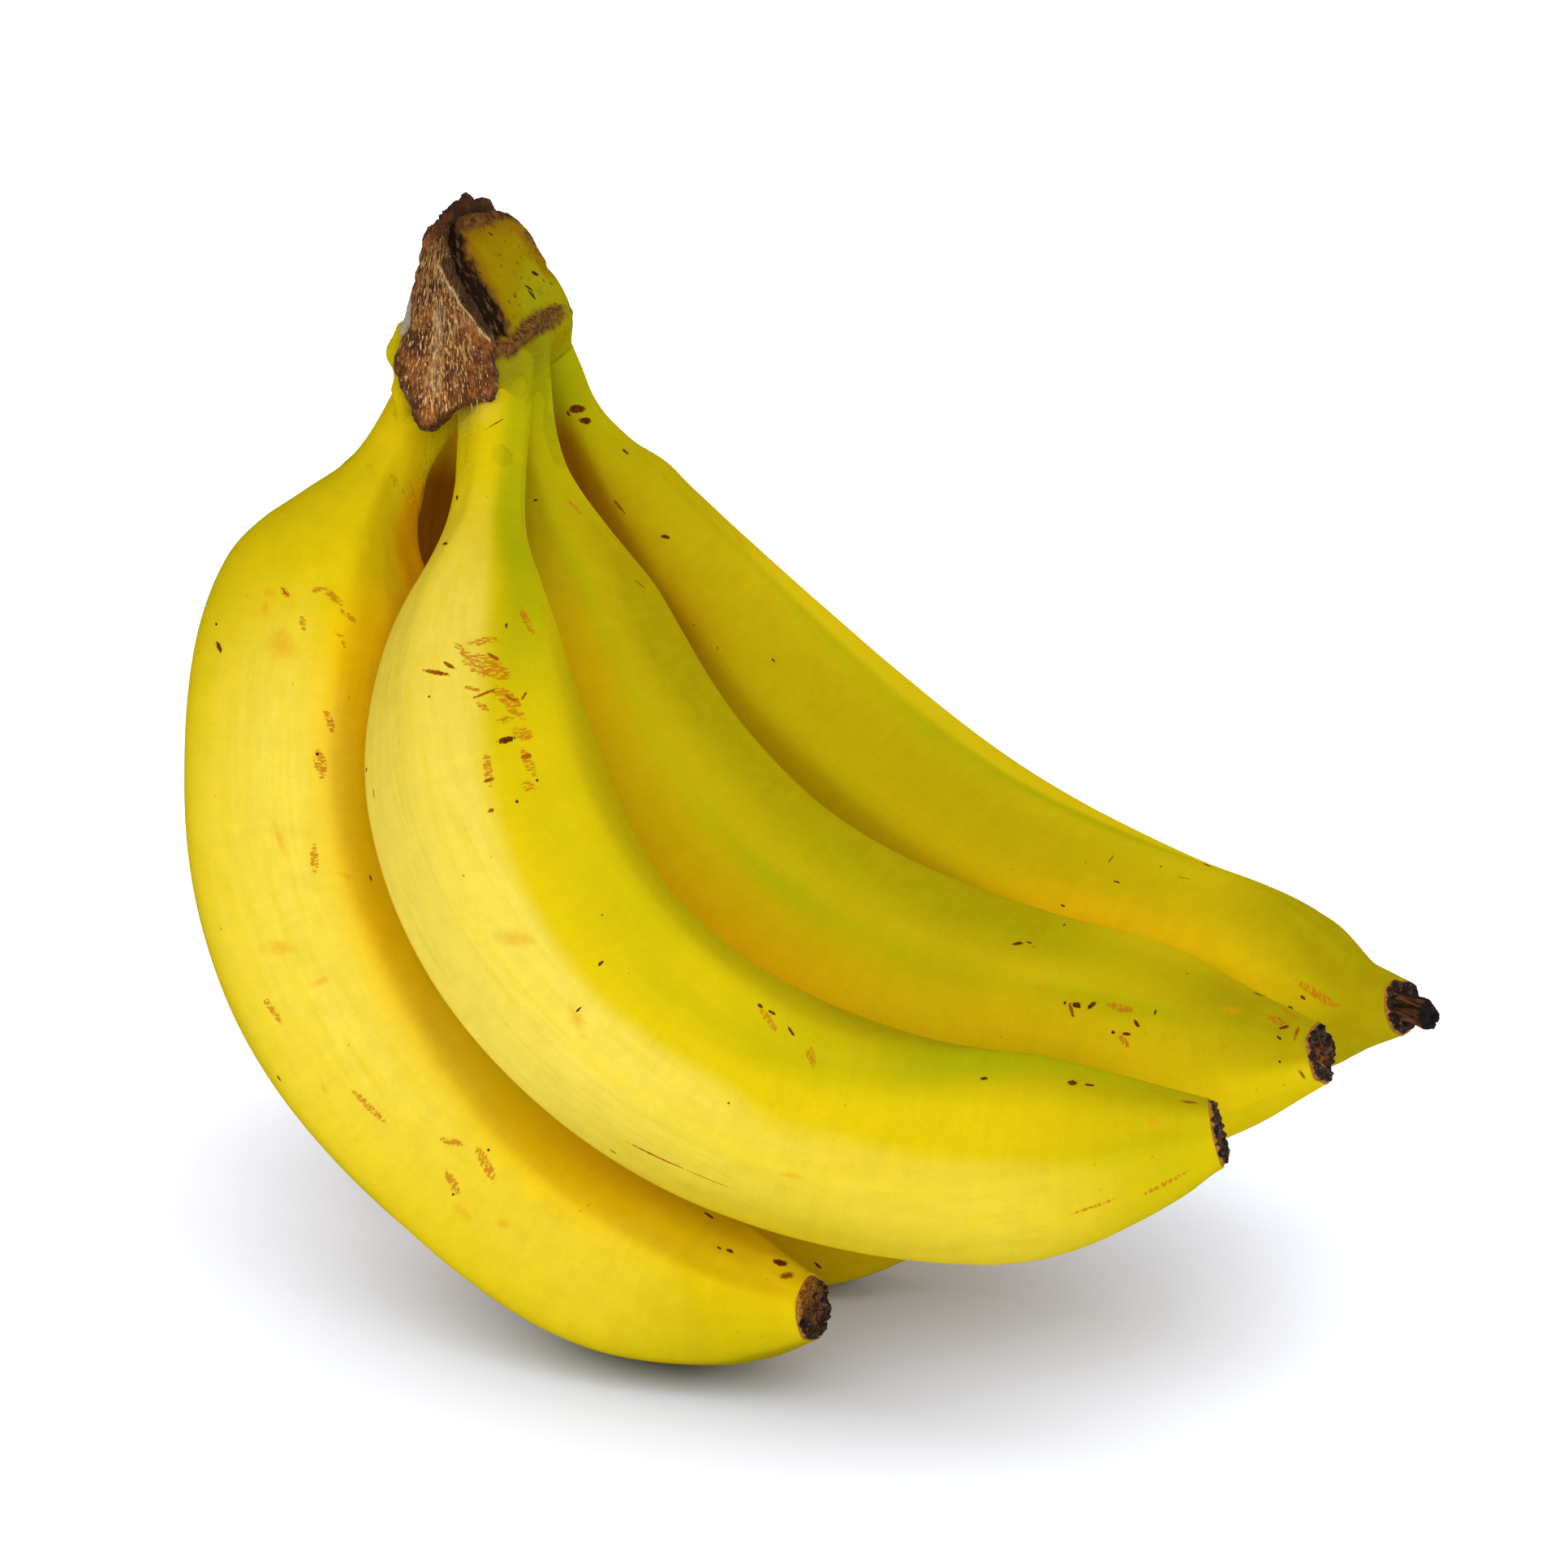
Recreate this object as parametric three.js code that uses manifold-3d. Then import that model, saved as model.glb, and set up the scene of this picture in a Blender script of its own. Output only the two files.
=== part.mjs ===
// A bunch of six ripe bananas, as picked: two rows of three fruits whose necks
// grow together in one crown. It lies on its lower bellies with the crown up.
//
// Every length is in millimetres and every angle in degrees. The fruits are
// described in the hand frame: x to the right, y up the crown and z towards
// the front. PITCH and ROLL then turn that frame into the resting pose, +Z up.

import * as THREE from "three";
import { ConvexGeometry } from "three/addons/geometries/ConvexGeometry.js";
import { mergeVertices } from "three/addons/utils/BufferGeometryUtils.js";
import Module from "manifold-3d";

const wasm = await Module();
wasm.setup();

// ---- driving dimensions ----------------------------------------------------

const PITCH = 20.6; // how far the front of the hand frame leans up
const ROLL = -1.5; // how far the hand frame turns in its own plane
const GAP = 0.3; // clearance between neighbouring pieces
const PRESS = 1.4; // how deep the lowest skin is pressed flat by the weight
const STUB_END = 0.05; // share of each finger that belongs to the crown

const RING_SIDES = 20; // facets round a fruit
const BODY_RINGS = 26; // rings from the crown to the nose
const NOSE_RINGS = 8; // closer rings over the nose
const NOSE_START = 0.86; // share of the length where the closer rings start
const SPINE_STEPS = 96; // steps that the spine is summed over
const SECTION_POWER = 8; // how crisp the five lengthwise ridges are
const RIDGE_REACH = 1.1; // where the five flats would meet, in girth radii

// Headings, rises and rolls are given at these shares of the length.
const STATIONS = [0, 0.25, 0.5, 0.75, 1];

// Five ridges, as angles round the fruit from the first ridge.
const EVEN_RIDGES = [0, 72, 144, 216, 288];
const UNEVEN_RIDGES = [0, 75, 150, 230, 310];

// root: where the finger's axis starts in the crown.
// heading: direction of the axis in the x-y plane, 0 to the right, -90 down.
// rise: how far the axis leans towards the front.
// roll: where the first ridge lies, 0 facing the front.
// neck, belly, tip: radii. neckEnd, bellyFrom, bellyTo: shares of the length.
// shoulder, waist, nose: shares of the way from the neck or tip to the belly.
const FINGERS = [
  {
    name: "outer_front",
    root: [-53.5, 63.5, -20.6],
    heading: [-123, -105, -66, -35, 5],
    rise: [16, 8, -3, 11, 37],
    roll: [12, -15, -24, -20, -16],
    ridges: EVEN_RIDGES,
    length: 200.4,
    neck: 6.3, belly: 18.9, tip: 5.6,
    neckEnd: 0.09, bellyFrom: 0.35, bellyTo: 0.71,
    shoulder: 0.95, waist: 0.89, nose: [0.77, 0.39],
  },
  {
    name: "inner_front",
    root: [-44.8, 64.9, -14.4],
    heading: [-90, -91, -51, -13, 15],
    rise: [32, 31, -6, 3, 21],
    roll: [-60, -41, -48, -50, -80],
    ridges: EVEN_RIDGES,
    length: 211.6,
    neck: 6.2, belly: 18.7, tip: 5.6,
    neckEnd: 0.14, bellyFrom: 0.36, bellyTo: 0.77,
    shoulder: 0.59, waist: 0.93, nose: [0.78, 0.33],
  },
  {
    name: "inner_middle",
    root: [-42.9, 69.5, -24.3],
    heading: [-85, -72, -38, -13, 14],
    rise: [2, 3, 1, 21, 38],
    roll: [0, -22, -15, -24, -32],
    ridges: EVEN_RIDGES,
    length: 200.9,
    neck: 5.8, belly: 19.5, tip: 5.2,
    neckEnd: 0.1, bellyFrom: 0.38, bellyTo: 0.76,
    shoulder: 0.73, waist: 0.98, nose: [0.81, 0.31],
  },
  {
    name: "inner_back",
    root: [-41.0, 75.3, -34.9],
    heading: [-73, -53, -39, -23, 3],
    rise: [-41, -19, 8, 32, 43],
    roll: [-8, 6, 10, 4, -20],
    ridges: UNEVEN_RIDGES,
    length: 212.0,
    neck: 5.8, belly: 19.7, tip: 5.0,
    neckEnd: 0.1, bellyFrom: 0.41, bellyTo: 0.8,
    shoulder: 0.65, waist: 1.01, nose: [0.84, 0.24],
  },
  {
    name: "outer_middle",
    root: [-50.0, 67.9, -33.1],
    heading: [-113, -91, -63, -42, 17],
    rise: [-20, -6, 9, 8, 7],
    roll: [-10, -10, -10, -10, -10],
    ridges: EVEN_RIDGES,
    length: 187.0,
    neck: 5.8, belly: 18.5, tip: 5.8,
    neckEnd: 0.11, bellyFrom: 0.38, bellyTo: 0.68,
    shoulder: 0.72, waist: 0.97, nose: [0.72, 0.26],
  },
  {
    name: "outer_back",
    root: [-47.0, 71.0, -44.4],
    heading: [-128, -106, -66, -15, -3],
    rise: [-39, -28, -2, 32, 27],
    roll: [-20, -20, -20, -20, -20],
    ridges: EVEN_RIDGES,
    length: 210.6,
    neck: 5.8, belly: 18.4, tip: 5.8,
    neckEnd: 0.11, bellyFrom: 0.38, bellyTo: 0.7,
    shoulder: 0.72, waist: 0.97, nose: [0.71, 0.26],
  },
];

// Places of the inner radius stations, as shares of their stretch.
const SHOULDER_PLACE = 0.45;
const NOSE_PLACES = [0.45, 0.8];
const BELLY_START_SHARE = 0.985; // of the full belly, where the belly starts
const NECK_FLARE = 1.02; // of the neck radius, where the neck ends

// The crown's near end, which the brown cut face covers, and its far end.
const CROWN_NEAR = [
  [-51, 89, -9], [-55, 86, -8], [-56.5, 79, -7], [-58.5, 70, -6],
  [-59, 64, -5], [-56.5, 60, -4.5], [-51, 60, -4.5], [-45, 62, -5],
  [-44.5, 70, -6], [-48.5, 80, -8],
];
const CROWN_MIDDLE = [[-41.5, 71, -12], [-50, 90, -18], [-46, 67, -16]];
const CROWN_FAR = [
  [-49, 95, -36], [-45, 93, -38], [-41.5, 88.5, -40], [-36.5, 80, -40],
  [-35.5, 77, -38], [-36, 74, -34], [-46, 68, -46], [-53, 71, -42],
  [-55, 83, -36],
];
const CUT_FLAP = [-54.5, 55.5, -3]; // the torn flap below the cut face
const CUT_NORMAL = [-0.25, 0.05, 0.97]; // the way the cut face looks
const CUT_LIFT = 0.5; // how far it stands off the crown along that normal
const CUT_THICKNESS = 2.6;

const SCAR_SHRINK = 0.3; // how much narrower a scar is than the tip it closes
const SCAR_THICKNESS = 1.8;
const SCAR_SIDES = 14;
// Reach and radius of a scar's rings, as shares of its thickness and its rim.
const SCAR_PROFILE = [[0, 0.86], [0.5, 1], [1, 0.8], [0.7, 0.45]];
const STYLE_FINGER = "inner_back"; // the fruit that keeps its withered style
const STYLE_REACH = 6.5;
const STYLE_RADIUS = 2.1;
// Reach and radius of the style's rings, as shares of its reach and its radius.
const STYLE_PROFILE = [[0.55, 1], [1, 0.75]];

const MATERIALS = {
  skin: { color: 0xe3c520, roughness: 0.45 },
  crown: { color: 0x8f8a2a, roughness: 0.6 },
  cut: { color: 0x6b452c, roughness: 0.9 },
  scar: { color: 0x33241c, roughness: 0.95 },
};
const WELD = 1e-4; // points closer than this are one point of a solid

// ---- small helpers -----------------------------------------------------------

const radians = THREE.MathUtils.degToRad;
const vector = (p) => new THREE.Vector3(...p);

// A smooth curve through the values at the given places.
function through(places, values, x) {
  const last = places.length - 1;
  const slope = (i) => {
    const a = Math.max(i - 1, 0);
    const b = Math.min(i + 1, last);
    return (values[b] - values[a]) / (places[b] - places[a]);
  };
  let i = 0;
  while (i < last - 1 && x >= places[i + 1]) i += 1;
  const span = places[i + 1] - places[i];
  const t = (x - places[i]) / span;
  const t2 = t * t;
  const t3 = t2 * t;
  return (
    (2 * t3 - 3 * t2 + 1) * values[i] +
    (t3 - 2 * t2 + t) * span * slope(i) +
    (3 * t2 - 2 * t3) * values[i + 1] +
    (t3 - t2) * span * slope(i + 1)
  );
}

// ---- one finger --------------------------------------------------------------

function directionAt(finger, u) {
  const heading = radians(through(STATIONS, finger.heading, u));
  const rise = radians(through(STATIONS, finger.rise, u));
  return new THREE.Vector3(
    Math.cos(heading) * Math.cos(rise),
    Math.sin(heading) * Math.cos(rise),
    Math.sin(rise),
  );
}

// The axis as a list of points, summed from the directions along the length.
function spineOf(finger) {
  const points = [vector(finger.root)];
  const step = finger.length / SPINE_STEPS;
  for (let i = 1; i <= SPINE_STEPS; i += 1) {
    const before = directionAt(finger, (i - 1) / SPINE_STEPS);
    const after = directionAt(finger, i / SPINE_STEPS);
    const move = before.add(after).multiplyScalar(step / 2);
    points.push(points[i - 1].clone().add(move));
  }
  return points;
}

// The directions across the axis: towards the front, and to the side of it.
function acrossAt(along) {
  const front = new THREE.Vector3(0, 0, 1);
  front.addScaledVector(along, -along.z).normalize();
  const side = new THREE.Vector3().crossVectors(along, front);
  return { front, side };
}

function pointAt(spine, u) {
  const place = Math.min(u, 1) * SPINE_STEPS;
  const i = Math.min(Math.floor(place), SPINE_STEPS - 1);
  return spine[i].clone().lerp(spine[i + 1], place - i);
}

function radiusAt(finger, u) {
  const { neck, belly, tip, neckEnd, bellyFrom, bellyTo, nose } = finger;
  const places = [
    0,
    neckEnd,
    neckEnd + (bellyFrom - neckEnd) * SHOULDER_PLACE,
    bellyFrom,
    (bellyFrom + bellyTo) / 2,
    bellyTo,
    bellyTo + (1 - bellyTo) * NOSE_PLACES[0],
    bellyTo + (1 - bellyTo) * NOSE_PLACES[1],
    1,
  ];
  const radii = [
    neck,
    neck * NECK_FLARE,
    neck + (belly - neck) * finger.shoulder,
    belly * BELLY_START_SHARE,
    belly,
    belly * finger.waist,
    tip + (belly - tip) * nose[0],
    tip + (belly - tip) * nose[1],
    tip,
  ];
  return through(places, radii, u);
}

// Five soft flats: the radius at an angle, as a share of the girth radius.
function flatsAt(ridges, angle) {
  let sum = 0;
  ridges.forEach((ridge, i) => {
    const next = i + 1 < ridges.length ? ridges[i + 1] : ridges[0] + 360;
    const middle = (ridge + next) / 2;
    const reach = RIDGE_REACH * Math.cos(radians((next - ridge) / 2));
    const facing = Math.max(Math.cos(radians(angle - middle)), 0);
    sum += (facing / reach) ** SECTION_POWER;
  });
  return sum ** (-1 / SECTION_POWER);
}

// One ring of points round the axis; grow widens it evenly.
function ringAt(finger, spine, u, grow) {
  const { front, side } = acrossAt(directionAt(finger, u));
  const roll = through(STATIONS, finger.roll, u);
  const ring = [];
  for (let j = 0; j < RING_SIDES; j += 1) {
    const angle = (360 * j) / RING_SIDES;
    const turn = radians(angle + roll);
    const radius = radiusAt(finger, u) * flatsAt(finger.ridges, angle) + grow;
    ring.push(
      pointAt(spine, u)
        .addScaledVector(front, radius * Math.cos(turn))
        .addScaledVector(side, radius * Math.sin(turn)),
    );
  }
  return ring;
}

// A closed solid through rings of equal length, with flat ends.
function loft(rings) {
  const sides = rings[0].length;
  const points = rings.flat();
  const middle = (ring) =>
    ring.reduce((a, p) => a.add(p), new THREE.Vector3()).divideScalar(sides);
  const startCentre = points.push(middle(rings[0])) - 1;
  const endCentre = points.push(middle(rings[rings.length - 1])) - 1;
  const lastRing = (rings.length - 1) * sides;
  const faces = [];
  for (let j = 0; j < sides; j += 1) {
    const k = (j + 1) % sides;
    for (let i = 0; i < lastRing; i += sides) {
      faces.push(i + j, i + k, i + sides + k);
      faces.push(i + j, i + sides + k, i + sides + j);
    }
    faces.push(startCentre, k, j);
    faces.push(endCentre, lastRing + j, lastRing + k);
  }
  const geometry = new THREE.BufferGeometry().setFromPoints(points);
  geometry.setIndex(faces);
  return geometry;
}

// The shares of the length where a fruit has its rings.
function ringPlaces(from) {
  const places = [];
  for (let i = 0; i < BODY_RINGS; i += 1) {
    places.push(from + ((NOSE_START - from) * i) / BODY_RINGS);
  }
  for (let i = 0; i <= NOSE_RINGS; i += 1) {
    places.push(NOSE_START + ((1 - NOSE_START) * i) / NOSE_RINGS);
  }
  return places;
}

function fruitGeometry(finger, grow = 0) {
  const spine = spineOf(finger);
  const from = STUB_END + (GAP - grow) / finger.length;
  return loft(ringPlaces(from).map((u) => ringAt(finger, spine, u, grow)));
}

// The short stretch of a neck that is grown together with the crown.
function neckStubGeometry(finger, grow = 0) {
  const spine = spineOf(finger);
  const end = STUB_END + grow / finger.length;
  const places = [0, end / 2, end];
  return loft(places.map((u) => ringAt(finger, spine, u, grow)));
}

// The dried blossom end: a dished disc, with a withered style on one fruit.
function scarGeometry(finger) {
  const along = directionAt(finger, 1);
  const { front, side } = acrossAt(along);
  const tip = pointAt(spineOf(finger), 1);
  const rim = finger.tip - SCAR_SHRINK;
  const profile = SCAR_PROFILE.map(([reach, radius]) => [
    GAP + reach * SCAR_THICKNESS,
    radius * rim,
  ]);
  if (finger.name === STYLE_FINGER) {
    STYLE_PROFILE.forEach(([reach, radius]) =>
      profile.push([reach * STYLE_REACH, radius * STYLE_RADIUS]),
    );
  }
  const ringOf = ([reach, radius]) =>
    Array.from({ length: SCAR_SIDES }, (_, j) => {
      const turn = (2 * Math.PI * j) / SCAR_SIDES;
      return tip
        .clone()
        .addScaledVector(along, reach)
        .addScaledVector(front, radius * Math.cos(turn))
        .addScaledVector(side, radius * Math.sin(turn));
    });
  return loft(profile.map(ringOf));
}

// ---- joining and cutting -------------------------------------------------------

function solidOf(geometry) {
  const bare = geometry.clone();
  bare.deleteAttribute("normal");
  bare.deleteAttribute("uv");
  const merged = mergeVertices(bare, WELD);
  return new wasm.Manifold(
    new wasm.Mesh({
      numProp: 3,
      vertProperties: new Float32Array(merged.attributes.position.array),
      triVerts: new Uint32Array(merged.index.array),
    }),
  );
}

function geometryOf(solid) {
  const mesh = solid.getMesh();
  const geometry = new THREE.BufferGeometry();
  const positions = new THREE.BufferAttribute(mesh.vertProperties, 3);
  geometry.setAttribute("position", positions);
  geometry.setIndex(new THREE.BufferAttribute(mesh.triVerts, 1));
  return geometry;
}

const joined = (solids) => solids.reduce((a, b) => a.add(b));

// A cut can leave loose crumbs: only the largest body is kept.
function largestBody(solid) {
  const bodies = solid.decompose();
  return bodies.reduce((a, b) => (a.volume() > b.volume() ? a : b));
}

// ---- the crown -----------------------------------------------------------------

// The block of the crown, moved by shift.
function crownBlock(shift) {
  const points = [...CROWN_NEAR, ...CROWN_MIDDLE, ...CROWN_FAR].map(vector);
  return solidOf(new ConvexGeometry(points.map((p) => p.add(shift))));
}

function crownGeometry() {
  const block = crownBlock(new THREE.Vector3());
  const stubs = FINGERS.map((finger) => solidOf(neckStubGeometry(finger)));
  const fruits = FINGERS.map((finger) => solidOf(fruitGeometry(finger, GAP)));
  const whole = joined([block, ...stubs]);
  return geometryOf(largestBody(whole.subtract(joined(fruits))));
}

// The dried slab where the crown was cut from the stalk, with its torn flap.
function cutFaceGeometry() {
  const normal = vector(CUT_NORMAL).normalize();
  const outline = [...CROWN_NEAR, CUT_FLAP].map(vector);
  const shifted = (reach) =>
    outline.map((p) => p.clone().addScaledVector(normal, reach));
  const slab = solidOf(
    new ConvexGeometry([...shifted(CUT_LIFT), ...shifted(CUT_LIFT + CUT_THICKNESS)]),
  );
  const block = crownBlock(normal.clone().multiplyScalar(CUT_LIFT));
  const fruits = FINGERS.map((finger) => solidOf(fruitGeometry(finger, GAP)));
  const stubs = FINGERS.map((finger) => solidOf(neckStubGeometry(finger, GAP)));
  const others = joined([block, ...fruits, ...stubs]);
  return geometryOf(largestBody(slab.subtract(others)));
}

// ---- assembly --------------------------------------------------------------------

function piece(name, geometry, look) {
  geometry.computeVertexNormals();
  const material = new THREE.MeshStandardMaterial({ ...look, metalness: 0 });
  const mesh = new THREE.Mesh(geometry, material);
  mesh.name = name;
  return mesh;
}

// Turns the hand frame into the resting pose, with +Z up.
const toRest = new THREE.Matrix4().makeRotationFromEuler(
  new THREE.Euler(radians(90 - PITCH), 0, radians(-ROLL)),
);

function handPieces() {
  const pieces = [
    piece("crown", crownGeometry(), MATERIALS.crown),
    piece("crown_cut_face", cutFaceGeometry(), MATERIALS.cut),
  ];
  FINGERS.forEach((finger) => {
    const fruit = fruitGeometry(finger);
    const scar = scarGeometry(finger);
    pieces.push(piece(`banana_${finger.name}`, fruit, MATERIALS.skin));
    pieces.push(piece(`scar_${finger.name}`, scar, MATERIALS.scar));
  });
  pieces.forEach((mesh) => mesh.geometry.applyMatrix4(toRest));
  return pieces;
}

// Presses the lowest skin flat, so that three bellies rest on level spots.
function pressFlat(pieces) {
  const box = new THREE.Box3();
  pieces.forEach((mesh) => box.expandByObject(mesh));
  const table = box.min.z + PRESS;
  pieces.forEach((mesh) => {
    const { position } = mesh.geometry.attributes;
    for (let i = 0; i < position.count; i += 1) {
      position.setZ(i, Math.max(position.getZ(i), table));
    }
    mesh.geometry.computeBoundingBox();
  });
}

// Puts the origin at the middle of the bounding box's bottom.
function standOnOrigin(pieces) {
  const box = new THREE.Box3();
  pieces.forEach((mesh) => box.expandByObject(mesh));
  const middle = box.getCenter(new THREE.Vector3());
  pieces.forEach((mesh) =>
    mesh.geometry.translate(-middle.x, -middle.y, -box.min.z),
  );
}

const pieces = handPieces();
pressFlat(pieces);
standOnOrigin(pieces);

const bunch = new THREE.Group();
bunch.name = "banana_bunch";
bunch.add(...pieces);

export default bunch;
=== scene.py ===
import itertools
import math

import bmesh
import bpy
import numpy as np
from mathutils import Matrix, Vector
from mathutils.bvhtree import BVHTree


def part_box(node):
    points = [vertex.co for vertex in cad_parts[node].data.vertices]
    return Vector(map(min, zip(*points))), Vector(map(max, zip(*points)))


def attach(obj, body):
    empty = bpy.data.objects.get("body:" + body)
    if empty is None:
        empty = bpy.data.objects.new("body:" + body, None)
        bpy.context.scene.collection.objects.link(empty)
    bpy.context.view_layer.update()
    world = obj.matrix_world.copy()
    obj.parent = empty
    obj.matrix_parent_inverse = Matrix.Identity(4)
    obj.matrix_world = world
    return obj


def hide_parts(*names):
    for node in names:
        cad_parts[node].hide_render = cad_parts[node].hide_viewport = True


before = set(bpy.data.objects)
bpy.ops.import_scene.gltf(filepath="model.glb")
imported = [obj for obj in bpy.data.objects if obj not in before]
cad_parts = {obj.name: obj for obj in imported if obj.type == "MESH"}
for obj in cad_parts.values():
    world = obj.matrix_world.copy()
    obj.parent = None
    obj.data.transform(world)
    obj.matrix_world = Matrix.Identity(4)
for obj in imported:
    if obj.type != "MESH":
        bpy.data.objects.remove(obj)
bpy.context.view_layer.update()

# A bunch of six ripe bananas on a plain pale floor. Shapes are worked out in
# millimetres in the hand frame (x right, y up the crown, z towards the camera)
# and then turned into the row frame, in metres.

# ---- driving dimensions, as in the CAD model

PITCH = 20.6
ROLL = -1.5
STATIONS = [0, 0.25, 0.5, 0.75, 1]
SPINE_STEPS = 96
SECTION_POWER = 8
RIDGE_REACH = 1.1
EVEN_RIDGES = [0, 72, 144, 216, 288]
UNEVEN_RIDGES = [0, 75, 150, 230, 310]
SHOULDER_PLACE = 0.45
NOSE_PLACES = [0.45, 0.8]
BELLY_START_SHARE = 0.985
NECK_FLARE = 1.02
STUB_END = 0.05
GAP = 0.3
CAD_SIDES = 20
CAD_BODY_RINGS = 26
CAD_NOSE_RINGS = 8
CAD_NOSE_START = 0.86

# Each fruit's heading, rise and roll in degrees at the five stations.
FINGERS = {
    "outer_front": dict(
        root=[-53.5, 63.5, -20.6],
        heading=[-123, -105, -66, -35, 0],
        rise=[16, 8, -3, 12, 29],
        roll=[12, -15, -24, -20, -16],
        ridges=EVEN_RIDGES,
        length=197.5, neck=6.3, belly=18.9, tip=5.6,
        neck_end=0.09, belly_from=0.35, belly_to=0.71,
        shoulder=0.95, waist=0.89, nose=[0.77, 0.39],
    ),
    "inner_front": dict(
        root=[-44.8, 64.9, -14.4],
        heading=[-90, -91, -51, -13, 12.5],
        rise=[32, 31, -6, 5, 11],
        roll=[-60, -41, -48, -50, -80],
        ridges=EVEN_RIDGES,
        length=209.3, neck=6.2, belly=18.7, tip=5.6,
        neck_end=0.14, belly_from=0.36, belly_to=0.77,
        shoulder=0.59, waist=0.93, nose=[0.78, 0.33],
    ),
    "inner_middle": dict(
        root=[-42.9, 69.5, -24.3],
        heading=[-85, -72, -38, -13, 8],
        rise=[2, 3, 1, 22, 29],
        roll=[0, -22, -15, -24, -32],
        ridges=EVEN_RIDGES,
        length=197.5, neck=5.8, belly=19.5, tip=5.2,
        neck_end=0.1, belly_from=0.38, belly_to=0.76,
        shoulder=0.73, waist=0.98, nose=[0.81, 0.31],
    ),
    "inner_back": dict(
        root=[-41.0, 75.3, -34.9],
        heading=[-73, -53, -39, -23, 0],
        rise=[-41, -19, 8, 32, 43],
        roll=[-8, 6, 10, 4, -20],
        ridges=UNEVEN_RIDGES,
        length=208.8, neck=5.8, belly=19.7, tip=5.0,
        neck_end=0.1, belly_from=0.41, belly_to=0.8,
        shoulder=0.65, waist=1.01, nose=[0.84, 0.24],
    ),
    "outer_middle": dict(
        root=[-50.0, 67.9, -33.1],
        heading=[-113, -91, -63, -42, 17],
        rise=[-20, -6, 9, 8, 7],
        roll=[-10, -10, -10, -10, -10],
        ridges=EVEN_RIDGES,
        length=187.0, neck=5.8, belly=18.5, tip=5.8,
        neck_end=0.11, belly_from=0.38, belly_to=0.68,
        shoulder=0.72, waist=0.97, nose=[0.72, 0.26],
    ),
    "outer_back": dict(
        root=[-47.0, 71.0, -44.4],
        heading=[-128, -106, -66, -15, -3],
        rise=[-39, -28, -2, 32, 27],
        roll=[-20, -20, -20, -20, -20],
        ridges=EVEN_RIDGES,
        length=210.6, neck=5.8, belly=18.4, tip=5.8,
        neck_end=0.11, belly_from=0.38, belly_to=0.7,
        shoulder=0.72, waist=0.97, nose=[0.71, 0.26],
    ),
}

CROWN_NEAR = [
    [-51, 89, -9], [-55, 86, -8], [-56.5, 79, -7], [-58.5, 70, -6],
    [-59, 64, -5], [-56.5, 60, -4.5], [-51, 60, -4.5], [-45, 62, -5],
    [-44.5, 70, -6], [-48.5, 80, -8],
]
CROWN_MIDDLE = [[-41.5, 71, -12], [-50, 90, -18], [-46, 67, -16]]
CROWN_FAR = [
    [-50, 93, -36], [-45.6, 92.8, -38], [-41.8, 89.4, -40], [-36, 80.3, -40],
    [-34.9, 77.3, -38], [-35.4, 74.2, -34], [-46, 68, -46], [-53, 71, -42],
    [-55, 83, -36],
]

# ---- camera: how the photograph's pixels map to the hand frame

CAMERA_DISTANCE = 800.0
IMAGE_SIZE = 1932
FOCAL_PIXELS = 6400.0
SENSOR = 36.0
PIXEL = CAMERA_DISTANCE / FOCAL_PIXELS
EYE = np.array([0, 0, CAMERA_DISTANCE])


def at_pixel(px, py, depth):
    """The hand-frame point that the camera sees at that place of the image."""
    scale = (CAMERA_DISTANCE - depth) / FOCAL_PIXELS
    middle = IMAGE_SIZE / 2
    return np.array([(px - middle) * scale, (middle - py) * scale, depth])


def at_pixels(pixels, depth):
    return np.array([at_pixel(px, py, depth) for px, py in pixels])


# ---- small helpers

def through(places, values, x):
    """A smooth curve through the values at the given places."""
    places, values, x = (np.asarray(given, float) for given in (places, values, x))
    slopes = np.empty_like(values)
    slopes[1:-1] = (values[2:] - values[:-2]) / (places[2:] - places[:-2])
    slopes[[0, -1]] = (np.diff(values) / np.diff(places))[[0, -1]]
    i = np.clip(np.searchsorted(places, x, side="right") - 1, 0, len(places) - 2)
    span = places[i + 1] - places[i]
    t = (x - places[i]) / span
    return (
        (2 * t**3 - 3 * t**2 + 1) * values[i]
        + (t**3 - 2 * t**2 + t) * span * slopes[i]
        + (3 * t**2 - 2 * t**3) * values[i + 1]
        + (t**3 - t**2) * span * slopes[i + 1]
    )


def at_stations(values, u):
    return through(STATIONS, values, u)


def smooth(low, high, x):
    """0 below low, 1 above high, and a soft step between."""
    t = np.clip((np.asarray(x, float) - low) / (high - low), 0, 1)
    return t * t * (3 - 2 * t)


def fade(low, high, x):
    """1 below low, 0 above high."""
    return 1 - smooth(low, high, x)


def window(x, start, full, last, end):
    """0 up to start, 1 from full to last, and 0 again from end."""
    return smooth(start, full, x) * fade(last, end, x)


def bell(away, width, power=2):
    return np.exp(-((away / width) ** power))


def unit(v):
    return v / np.linalg.norm(v, axis=-1, keepdims=True)


def soft_min(a, b, reach):
    """The smaller of a and b, blended where they are within reach."""
    h = np.clip(0.5 + 0.5 * (b - a) / reach, 0, 1)
    return b * (1 - h) + a * h - reach * h * (1 - h)


def lattice(places, seed):
    """A fixed pseudo-random value from -1 to 1 for each lattice point."""
    n = (seed * 265443576) ^ (places[..., 0] * 73856093)
    n = n ^ (places[..., 1] * 19349663) ^ (places[..., 2] * 83492791)
    n = ((n ^ (n >> 13)) * 1274126177) & 0xFFFFFFFF
    n = ((n ^ (n >> 15)) * 668265263) & 0xFFFFFFFF
    return ((n ^ (n >> 16)) & 0xFFFF) / 32767.5 - 1


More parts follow.
